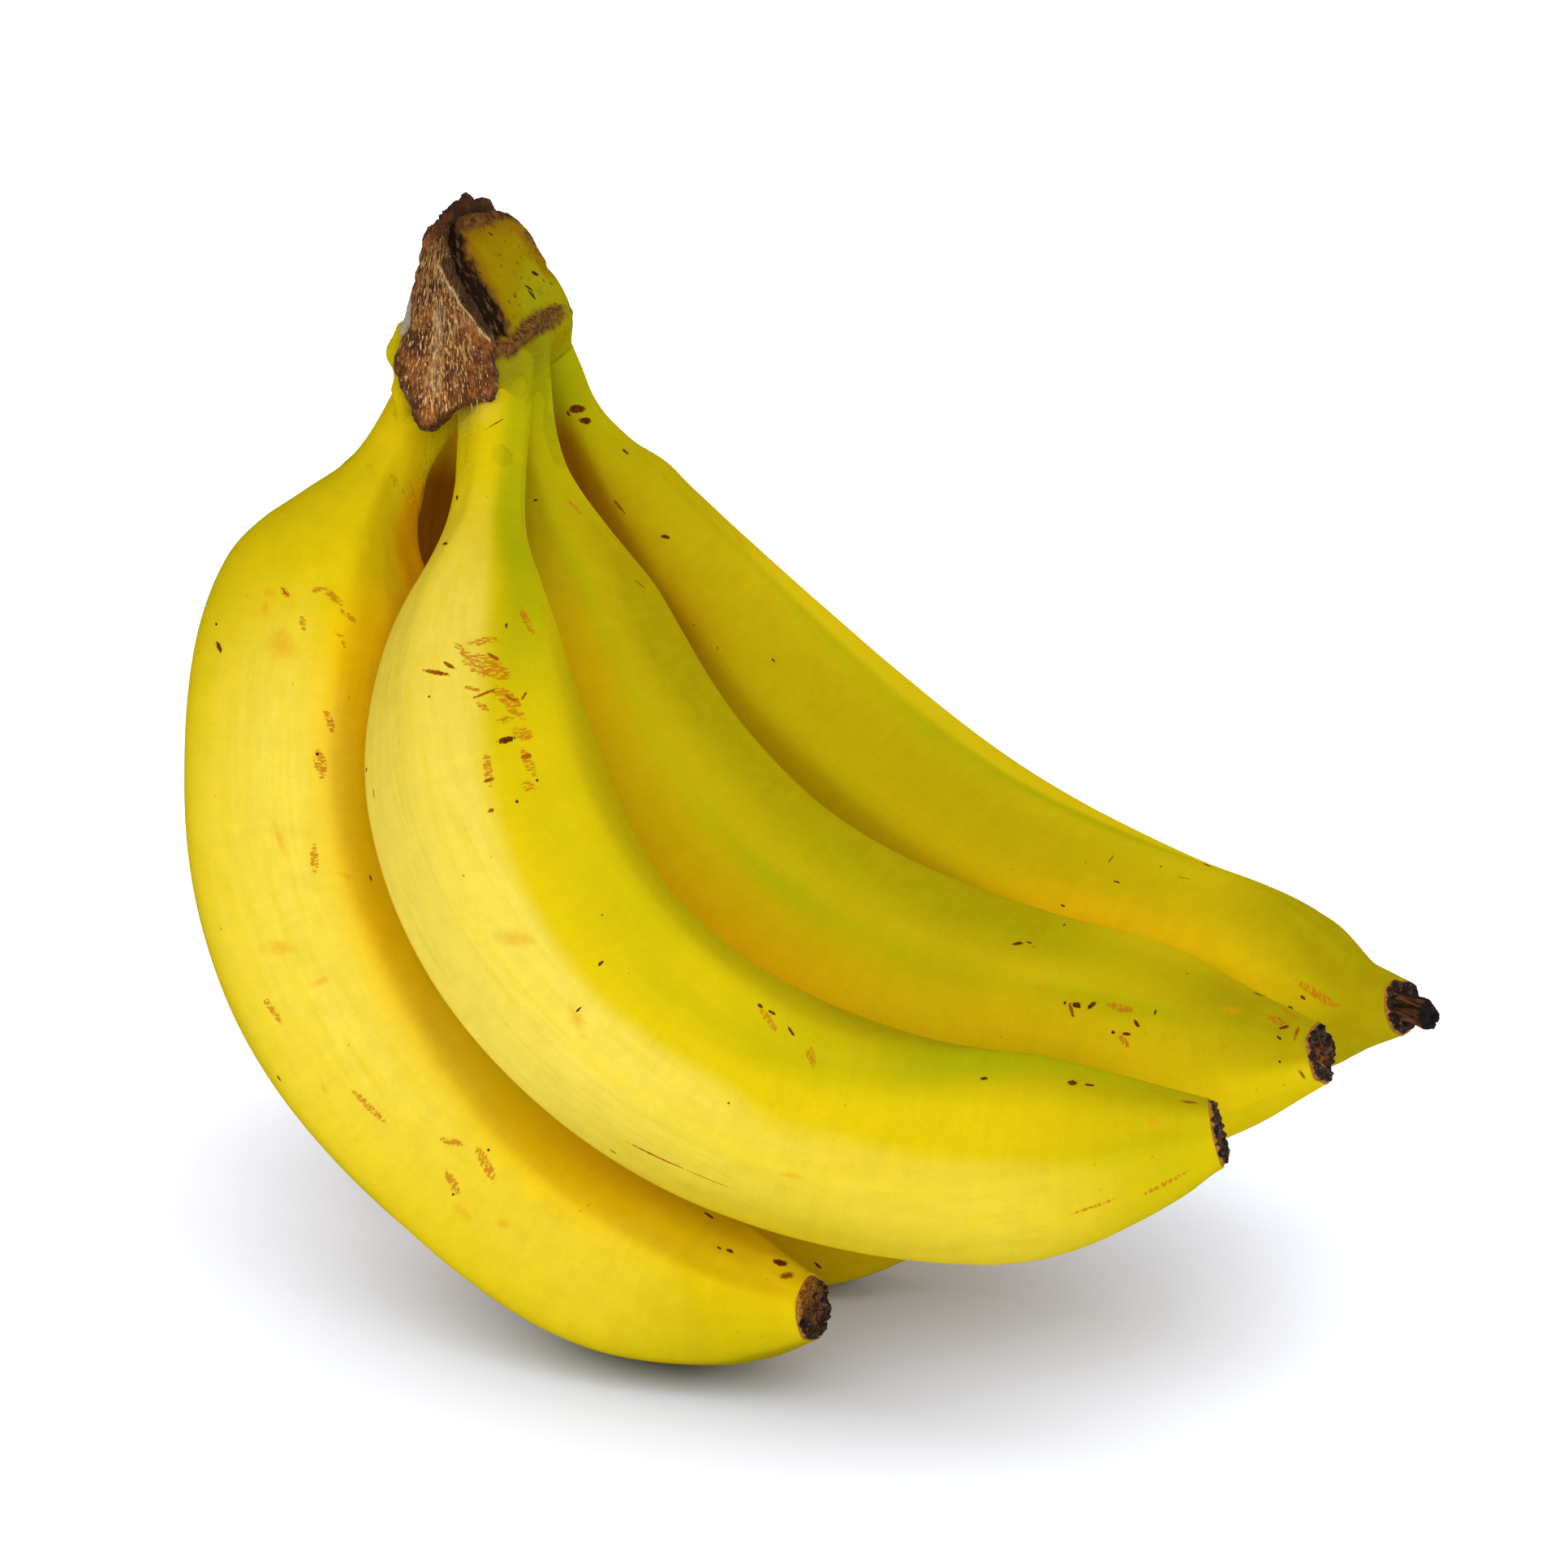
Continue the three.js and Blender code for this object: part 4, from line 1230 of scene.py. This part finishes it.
def crown_material():
    s = Shader("crown_look")
    place = s.attribute("straight", "Vector")
    fine = s.noise(place, 1.7, 4, 0.65)
    lumps = s.noise(place, 0.22, 3, 0.6)
    grain = s.noise(place, 1.6, 3, 0.6)
    patches = s.noise(place, 0.5, 3, 0.6)
    bark = s.noise(place, 1.1, 4, 0.62)
    ragged = s.scaled(s.noise(place, 2.0, 3, 0.6), 1.2, -0.6)
    block = s.layers(
        s.mix(s.step(lumps, 0.35, 0.65), (0.31, 0.225, 0.002), (0.33, 0.21, 0.002)),
        (s.step(s.attribute("lime"), 0.0, 1.0), (0.34, 0.30, 0.004)),
        (s.step(s.attribute("brown"), 0.0, 1.0), (0.27, 0.125, 0.003)),
        (s.step(patches, 0.55, 0.75, 0.0, 0.6), (0.24, 0.13, 0.003)),
        (s.step(fine, 0.52, 0.72, 0.0, 0.45), (0.19, 0.115, 0.003)),
        (s.step(s.cells(place, 0.42), 0.10, 0.18, 0.8, 0.0), BROWN),
    )
    cork = s.layers(
        s.mix(s.step(bark, 0.36, 0.62), (0.060, 0.023, 0.007), (0.20, 0.085, 0.020)),
        (s.step(fine, 0.60, 0.74, 0.0, 0.8), (0.36, 0.19, 0.06)),
        (s.step(s.attribute("tuft"), 0.0, 1.0, 0.0, 0.85), (0.048, 0.017, 0.005)),
    )
    burnt = s.noise(s.inside(place, (0, 0, 0), (0, 0, CHAR_TURN), (1.8, 0.55, 0.9)), 1.0, 4, 0.6)
    char = s.layers(
        s.mix(s.step(burnt, 0.50, 0.68), (0.014, 0.008, 0.004), (0.13, 0.055, 0.018)),
        (s.step(burnt, 0.68, 0.76), (0.40, 0.24, 0.10)),
    )
    scabs = marks_mask(s, place, [ellipsoid(on_block(x1, y1), on_block(x2, y2), size)
                                  for x1, y1, x2, y2, size in SCABS])
    color = s.layers(
        peel_color(s, place, grain, patches),
        (s.attribute("block"), block),
        # painted shade under the corky lip
        (s.times(s.attribute("under"), s.step(fine, 0.3, 0.6, 0.55, 0.85)), (0.27, 0.25, 0.006)),
        (s.step(s.plus(scabs, ragged), 0.0, 0.3), (0.045, 0.016, 0.004)),
        (s.attribute("cork"), cork),
        (s.attribute("char"), char),
        (s.attribute("rim_front_pale"), s.mix(fine, (0.22, 0.15, 0.07), (0.50, 0.44, 0.32))),
    )
    rough = s.scaled(s.math("MAXIMUM", s.attribute("cork"), s.attribute("char")), 0.4, 0.5)
    normal = s.bump(s.scaled(bark, 1.5, fine), 0.0005, 0.7)
    return s.finish(Base_Color=color, Roughness=rough, Specular_IOR_Level=0.0, Normal=normal)


add_crown()


# ---- the dried cut face

CUT_DEPTH = -4.0
CUT_STEP = 0.3
CUT_BACK = 1.2
CUT_FRONT = 2.6
CUT_BLEND = 1.2
CUT_MARGIN = 2
CUT_SPAN = (-13.0, 3.0)


def on_cut(pixels):
    """The flat places of those pixels on the cut face."""
    return at_pixels(pixels, CUT_DEPTH)[:, :2]


CUT_OUTLINE = on_cut([
    (571, 238), (557, 251), (542, 263), (527, 280), (519, 306), (514, 330), (511, 352),
    (509, 378), (507, 402), (497, 420), (490, 440), (489, 458), (495, 477), (507, 497),
    (513, 515), (520, 526), (534, 531), (541, 524), (557, 508), (570, 499), (589, 491),
    (607, 490), (616, 480), (613, 468), (609, 450), (604, 434), (609, 420), (602, 406),
    (590, 388), (577, 368), (565, 344), (555, 318), (549, 296), (550, 279), (560, 267),
    (579, 259), (602, 252), (594, 240), (583, 243),
])
CREST = on_cut([(545, 262), (534, 325), (537, 380), (543, 440), (537, 500)])
HOLLOW = on_cut([(552, 340), (566, 366), (580, 382), (590, 398), (600, 412)])
LOBE = on_cut([(518, 470)])[0]
LOBE_SIZE = [4.5, 6.0]
FAN_TOP = at_pixel(548, 215, -6.0)
FAN_SPREAD = 24
# Coloured lines on the face.
GREY_STREAK = on_cut([(541, 385), (542, 420), (538, 450), (536, 478)])
DRY_CREST = on_cut([(533, 325), (545, 380), (552, 430), (540, 480)])
FOLD_LINE = on_cut([(541, 329), (547, 340), (552, 351), (560, 361), (565, 373), (575, 384),
                    (584, 396), (592, 408), (603, 419)])
SMOOTH_STRIP = on_cut([(553, 326), (562, 347), (574, 366), (587, 385), (598, 400)])
# Loose straw-coloured hairs that hang from the face's lower edge, with their half thickness.
STRAW_HAIRS = [
    ([(582, 474), (580, 490), (582, 506)], 0.13), ([(587, 476), (588, 494), (588, 509)], 0.12),
    ([(593, 476), (595, 488), (599, 498)], 0.11), ([(601, 462), (609, 480), (612, 494)], 0.09),
    ([(569, 488), (566, 500), (561, 510)], 0.09), ([(528, 525), (526, 531), (520, 533)], 0.08),
]
HAIR_DEPTH = -2.6
HAIR_RINGS = 9
HAIR_SIDES = 8
HAIR_TAPER = 0.35


def cut_base(y):
    """Depth of the plane that the cut face lies on, by height."""
    return -4.8 - 0.14 * (y - 62)


def cut_relief(flat):
    """How far the dried face stands off its plane, with its fold and lobes."""
    lobe = np.linalg.norm((flat - LOBE) / LOBE_SIZE, axis=1)
    height = 1.1 * bell(from_path(flat, CREST), 3.0) - 0.7 * bell(from_path(flat, HOLLOW), 1.5)
    return height + 0.9 * bell(lobe, 1)


def outline_distance(flat):
    """Signed distance to the face's closed outline, negative inside."""
    closed = np.vstack([CUT_OUTLINE, CUT_OUTLINE[:1]])
    distance = from_path(flat, closed)
    inside = np.zeros(len(flat), bool)
    for (x1, y1), (x2, y2) in zip(closed[:-1], closed[1:]):
        crosses = (y1 > flat[:, 1]) != (y2 > flat[:, 1])
        if y1 != y2:
            inside ^= crosses & (flat[:, 0] < (x2 - x1) * (flat[:, 1] - y1) / (y2 - y1) + x1)
    return np.where(inside, -distance, distance)


def fibre_space(points):
    """Coordinates along and across the fibres, which fan out from the top of the face."""
    away = points - FAN_TOP
    reach = np.linalg.norm(away[:, :2], axis=1)
    fan = np.arctan2(away[:, 0], -away[:, 1])
    return np.stack([reach, fan * FAN_SPREAD, points[:, 2]], 1)


def straw_hair(pixels, thickness):
    """Points and faces of a thin tapered hair through those pixels."""
    path = at_pixels(pixels, HAIR_DEPTH)
    given, wanted = np.linspace(0, 1, len(path)), np.linspace(0, 1, HAIR_RINGS)
    path = np.stack([through(given, path[:, k], wanted) for k in range(3)], 1)
    angle = np.linspace(0, 2 * np.pi, HAIR_SIDES, endpoint=False)[:, None]
    ring = np.hstack([np.cos(angle), 0 * angle, np.sin(angle)])
    taper = thickness * np.linspace(1, HAIR_TAPER, HAIR_RINGS)[:, None, None]
    first = np.arange(HAIR_SIDES)
    faces = list(grid_faces(HAIR_RINGS, HAIR_SIDES))
    faces += [first[::-1], (HAIR_RINGS - 1) * HAIR_SIDES + first]
    return (path[:, None] + taper * ring).reshape(-1, 3), faces


def cut_shell():
    """Points and faces of the face's thin shell."""
    low = np.array([*CUT_OUTLINE.min(0) - CUT_MARGIN, CUT_SPAN[0]])
    high = np.array([*CUT_OUTLINE.max(0) + CUT_MARGIN, CUT_SPAN[1]])
    axes = grid_between(low, high, CUT_STEP)
    x, y = np.meshgrid(*axes[:2], indexing="ij")
    flat = np.stack([x.reshape(-1), y.reshape(-1)], 1)
    ragged = 0.35 * noise(np.column_stack([flat, 0 * flat[:, 0]]), 1.3, 41)
    rim = (outline_distance(flat) + ragged).reshape(x.shape)
    front = cut_base(y) + CUT_FRONT + cut_relief(flat).reshape(x.shape)
    back = cut_base(y) - CUT_BACK
    shell = np.maximum(axes[2] - front[..., None], back[..., None] - axes[2])
    return surface_net(-soft_min(-shell, -rim[..., None], CUT_BLEND), low, CUT_STEP)


def add_cut_face():
    points, faces = cut_shell()
    fibres = fibre_space(points)
    ridged = 1 - 2 * np.abs(noise(fibres, (5.0, 0.8, 2.0), 42))
    fine = 1 - 2 * np.abs(noise(fibres, (2.2, 0.4, 1.0), 43))
    height = 0.28 * ridged + 0.14 * fine + 0.25 * noise(points, 2.0, 44)
    points = points + vertex_normals(points, faces) * height[:, None]
    flat = points[:, :2]
    frayed = 0.5 * noise(fibres, (6, 0.8, 2), 45)
    shares = {
        "edge": np.interp(outline_distance(flat), [-2.2, 0.2], [0, 1]),
        "streak": 0.6 * fade(0.2, 1.2, from_path(flat, GREY_STREAK) + frayed),
        "dry": fade(1.5, 5.5, from_path(flat, DRY_CREST)),
        "crown_top": fade(3.0, 10.0, from_path(flat, on_cut(TUFT_PIXELS))),
        "strip": 0.8 * fade(0.9, 1.7, from_path(flat, SMOOTH_STRIP)),
        "fold": fade(0.05, 0.22, from_path(flat, FOLD_LINE)),
    }
    faces = list(faces)
    for pixels, thickness in STRAW_HAIRS:
        hair, hair_faces = straw_hair(pixels, thickness)
        faces += [face + len(points) for face in hair_faces]
        points = np.vstack([points, hair])
        fibres = np.vstack([fibres, fibre_space(hair)])
        for key, values in shares.items():
            shares[key] = np.append(values, np.full(len(hair), 1.0 * (key in ("dry", "fold"))))
    attributes = {"straight": points, "fibre": fibres, **shares}
    add_piece("cut_face_fibres", to_row(points), faces, attributes, cut_material(),
              "crown_cut_face")


def cut_material():
    s = Shader("cut_look")
    fibre = s.attribute("fibre", "Vector")
    strands = s.noise(s.stretched(fibre, (0.30, 2.4, 1.2)), 1.0, 3, 0.6, 0.25)
    threads = s.noise(s.stretched(fibre, (0.75, 5.0, 2.5)), 1.0, 3, 0.62, 0.15)
    flecks = s.noise(s.stretched(fibre, (1.3, 3.6, 3.0)), 1.0, 2, 0.5, 0.2)
    blotch = s.noise(s.attribute("straight", "Vector"), 0.30, 3, 0.55)
    dry = s.attribute("dry")
    streak = s.times(s.attribute("streak"), s.step(threads, 0.35, 0.6, 0.1, 0.6))
    color = s.layers(
        s.mix(s.step(blotch, 0.38, 0.68), (0.080, 0.024, 0.006), (0.31, 0.10, 0.020)),
        (s.step(strands, 0.50, 0.30, 0.0, 0.8), (0.045, 0.016, 0.007)),
        (s.step(s.scaled(dry, 0.11, strands), 0.63, 0.72, 0.0, 0.75), (0.47, 0.23, 0.065)),
        (s.step(s.scaled(dry, 0.05, threads), 0.60, 0.65, 0.0, 0.85), (0.74, 0.46, 0.17)),
        (s.step(flecks, 0.64, 0.69, 0.0, 0.75), (0.56, 0.32, 0.11)),
        (s.step(threads, 0.40, 0.34, 0.0, 0.9), (0.020, 0.008, 0.004)),
        (streak, (0.60, 0.42, 0.22)),
        (s.attribute("strip"), (0.035, 0.014, 0.005)),
        (s.attribute("fold"), (0.66, 0.46, 0.20)),
        (s.step(s.attribute("crown_top"), 0.0, 1.0, 0.0, 0.7), (0.040, 0.014, 0.004)),
        (s.step(s.attribute("edge"), 0.65, 1.0, 0.0, 0.5), (0.03, 0.012, 0.006)),
    )
    normal = s.bump(s.scaled(threads, 0.6, strands), 0.0007, 1.0)
    return s.finish(Base_Color=color, Roughness=0.85, Specular_IOR_Level=0.12, Normal=normal)


add_cut_face()


# ---- the blossom ends

SCAR_RINGS = 44
SCAR_RIM = 0.93
SCAR_WIDEST = 0.975
STYLE_FINGER = "inner_back"
STYLE_STEPS = 40
# Height along the stub of the withered style, its radius there and how far it has drooped.
STYLE_RINGS = [(-0.6, 3.0, 0), (0.4, 2.6, 0), (1.5, 2.15, 0.2), (2.8, 1.95, 0.6),
               (4.2, 2.05, 1.2), (5.4, 2.1, 1.8), (6.1, 1.8, 2.2), (6.3, 1.2, 2.4),
               (5.8, 0.5, 2.2)]
STYLE_DROOP = np.array([0.1, -0.75, 0.0])
STYLE_GRAIN_LENGTH = 26
STYLE_GRAIN_SHARE = 0.25
# How brown the middle of each scar is.
CORES = {"inner_middle": 0.9, "outer_front": 0.5}
CORE_OF_REST = 0.35
# The scar with a rotten brown corner, and where that lies across the scar.
STAINED_FINGER = "outer_front"
STAINED_CORNER = (0.6, -0.8, 0.0)


def scar_disc(name, tip, front, side):
    """Flat places, heights, crests and shares of the rim of a crinkled, dished disc that
    follows the last ring of the skin."""
    seed = 50 + list(FINGERS).index(name)
    ring = SKINS[name][0].reshape(-1, SKIN_SIDES, 3)[-len(LIP) - 1] - tip
    x, y = ring @ front, ring @ side
    share = np.linspace(1, 0, SCAR_RINGS)[:, None]
    reach = share * SCAR_RIM * (1 + (lip_wave(name, np.arctan2(y, x)) - 1) * share**3)
    reach = np.minimum(reach, SCAR_WIDEST)
    flat = np.stack([reach * x, reach * y, 0 * reach + seed], -1)
    coarse, fine = (1 - 2 * np.abs(noise(flat, *lumps)) for lumps in ((1.3, seed), (0.6, seed + 9)))
    crest = coarse + 0.5 * fine
    inside = smooth(1.0, 0.93, share)
    wall = inside * (1 - 0.8 * smooth(0.62, 0.30, share))
    height = -0.25 + 1.05 * wall + 0.5 * crest * inside + 0.4 * smooth(0.5, 0.2, share)
    return flat, height, crest, np.broadcast_to(share, height.shape)


def style_stub():
    """Flat places, heights, ridges and droop of the shrivelled stub of the style."""
    steps, given = np.linspace(0, 1, STYLE_STEPS), np.linspace(0, 1, len(STYLE_RINGS))
    out, reach, droop = (np.interp(steps, given, column)[:, None]
                         for column in np.array(STYLE_RINGS).T)
    angle = np.linspace(0, 2 * np.pi, SKIN_SIDES, endpoint=False)
    around = np.stack([np.cos(angle), np.sin(angle), 0 * angle], -1)
    coiled = 2 * around + out[..., None] * [0, 0, 0.3]
    ridge = 0.5 * np.sin(7 * angle) + 0.35 * np.sin(11 * angle + 1) + 0.25 * np.sin(19 * angle)
    ridge = ridge + 0.9 * noise(coiled, 0.7, 77)
    ragged = 0.6 * noise(coiled + 5, 0.8, 78) * smooth(4, 6.5, out)
    return (reach * (1 + 0.15 * ridge))[..., None] * around, out + ragged, ridge, droop


def add_scar(name):
    """The blossom scar, sunk in the lip of the peel, with the style's stub on one fruit."""
    tip, along, front, side = (given[0] for given in axis_at(FINGERS[name], np.array([1.0])))

    def place(flat, height):
        return tip + along * height[..., None] + front * flat[..., :1] + side * flat[..., 1:2]

    flat, height, crest, share = scar_disc(name, tip, front, side)
    grain = np.stack([flat[..., 0], flat[..., 1], height], -1)
    parts = [(place(flat, height), grain, crest, share)]
    faces = list(grid_faces(SCAR_RINGS, SKIN_SIDES))
    if name == STYLE_FINGER:
        flat, height, ridge, droop = style_stub()
        around = np.linspace(0, STYLE_GRAIN_LENGTH, SKIN_SIDES, endpoint=False) + 0 * height
        grain = np.stack([around, 0 * around, STYLE_GRAIN_SHARE * height], -1)
        stub = place(flat, height) + droop[..., None] * STYLE_DROOP
        parts.append((stub, grain, ridge, -1 - smooth(4.2, 6.0, height)))
        first = SCAR_RINGS * SKIN_SIDES
        faces += list(grid_faces(STYLE_STEPS, SKIN_SIDES) + first)
        faces.append(first + (STYLE_STEPS - 1) * SKIN_SIDES + np.arange(SKIN_SIDES))
    points, straight = (np.vstack([part[k].reshape(-1, 3) for part in parts]) for k in (0, 1))
    crest, share = (np.concatenate([part[k].reshape(-1) for part in parts]) for k in (2, 3))
    attributes = {"straight": straight, "crest": crest, "share": share}
    add_piece("blossom_end_" + name, to_row(points), faces, attributes, scar_material(name),
              "scar_" + name)


def scar_material(name):
    """Black and brown crinkles with ashy flecks; share runs from 1 at the rim to 0 at the
    centre, and is negative on the style's stub, -2 at its end."""
    s = Shader("scar_look_" + name)
    place = s.attribute("straight", "Vector")
    share = s.attribute("share")
    lumps = s.noise(place, 0.8, 4, 0.65)
    fine = s.noise(place, 2.6, 3, 0.6)
    on_disc = s.step(share, -0.1, 0.0)
    color = s.mix(s.step(lumps, 0.42, 0.64), (0.010, 0.006, 0.004), (0.060, 0.026, 0.012))
    if name == STAINED_FINGER:
        to_corner = s.node("VectorMath", {0: place, 1: STAINED_CORNER}, operation="DOT_PRODUCT")
        stained = s.scaled(lumps, 5.0, to_corner.outputs["Value"])
        rot = s.mix(s.step(fine, 0.35, 0.65), (0.12, 0.04, 0.005), (0.32, 0.13, 0.012))
        color = s.mix(s.step(stained, 3.2, 5.4, 0.0, 0.85), color, rot)
    core = s.times(s.step(share, 0.56, 0.36), on_disc)
    core = s.times(core, s.step(lumps, 0.40, 0.56, 0.1, CORES.get(name, CORE_OF_REST)))
    ashy = s.times(s.step(s.scaled(s.attribute("crest"), 0.10, fine), 0.66, 0.78), on_disc)
    stub = s.layers(
        s.mix(s.step(lumps, 0.42, 0.58), (0.016, 0.007, 0.004), (0.105, 0.036, 0.013)),
        (s.step(lumps, 0.60, 0.72, 0.0, 0.7), (0.22, 0.09, 0.03)),
        (s.step(share, -1.2, -1.8), (0.010, 0.007, 0.006)),
    )
    color = s.layers(
        color,
        (core, (0.20, 0.062, 0.012)),
        (s.times(ashy, 0.65), (0.27, 0.18, 0.085)),
        (s.step(share, -0.2, -0.6), stub),
        (s.step(s.scaled(lumps, 0.05, share), 0.962, 0.984),
         s.mix(s.step(fine, 0.4, 0.6), LIP_DARK, LIP_LIGHT)),
    )
    normal = s.bump(s.scaled(fine, 0.5, lumps), 0.0006, 0.8)
    return s.finish(Base_Color=color, Roughness=0.7, Specular_IOR_Level=0.08, Normal=normal)


for finger_name in FINGERS:
    add_scar(finger_name)


# ---- floor, light and camera

FLOOR_SIZE = 12
FLOOR_PLACE = (0, 2, 0)
WORLD_STRENGTH = 0.33
AIM = (0, 0, 0.07)
WHITE = (1, 1, 1, 1)


def add_floor():
    bpy.ops.mesh.primitive_plane_add(size=FLOOR_SIZE, location=FLOOR_PLACE)
    floor = bpy.context.object
    floor.name = "floor"
    s = Shader("floor_white")
    floor.data.materials.append(s.finish(
        Base_Color=(0.53, 0.55, 0.62, 1), Roughness=1.0, Specular_IOR_Level=0.0,
        Emission_Color=WHITE, Emission_Strength=0.02))
    return floor


def add_sun(name, place, strength, spread, lit):
    """A far lamp that shines from that place and lights only those pieces."""
    data = bpy.data.lights.new(name, "SUN")
    data.energy = strength
    data.angle = math.radians(spread)
    lamp = bpy.data.objects.new(name, data)
    bpy.context.scene.collection.objects.link(lamp)
    lamp.location = place
    lamp.rotation_euler = (Vector(place) - Vector(AIM)).to_track_quat("Z", "Y").to_euler()
    only = bpy.data.collections.new("lit_by_" + name)
    for piece in lit:
        only.objects.link(piece)
    lamp.light_linking.receiver_collection = only


def add_light(floor):
    """White surroundings, a soft light over the floor, and a softbox at the front left and
    one behind that light the fruit alone, so that the floor has only the shadow straight
    below."""
    world = bpy.data.worlds.new("studio")
    bpy.context.scene.world = world
    world.use_nodes = True
    background = world.node_tree.nodes["Background"]
    background.inputs["Color"].default_value = WHITE
    background.inputs["Strength"].default_value = WORLD_STRENGTH
    add_sun("overhead", (0, 0.1, 1.0), 7.25, 140, [floor])
    add_sun("softbox", (-0.08, -0.8, 0.64), 2.2, 50, FRUIT)
    add_sun("back_light", (0.6, 0.8, 0.9), 1.6, 90, FRUIT)


def add_camera():
    data = bpy.data.cameras.new("camera")
    data.sensor_width = SENSOR
    data.lens = FOCAL_PIXELS / IMAGE_SIZE * SENSOR
    camera = bpy.data.objects.new("camera", data)
    bpy.context.scene.collection.objects.link(camera)
    camera.matrix_world = Matrix.Translation(Vector(to_row(EYE))) @ TO_REST.to_4x4()
    bpy.context.scene.camera = camera


add_light(add_floor())
add_camera()
bpy.context.scene.view_settings.view_transform = "Standard"
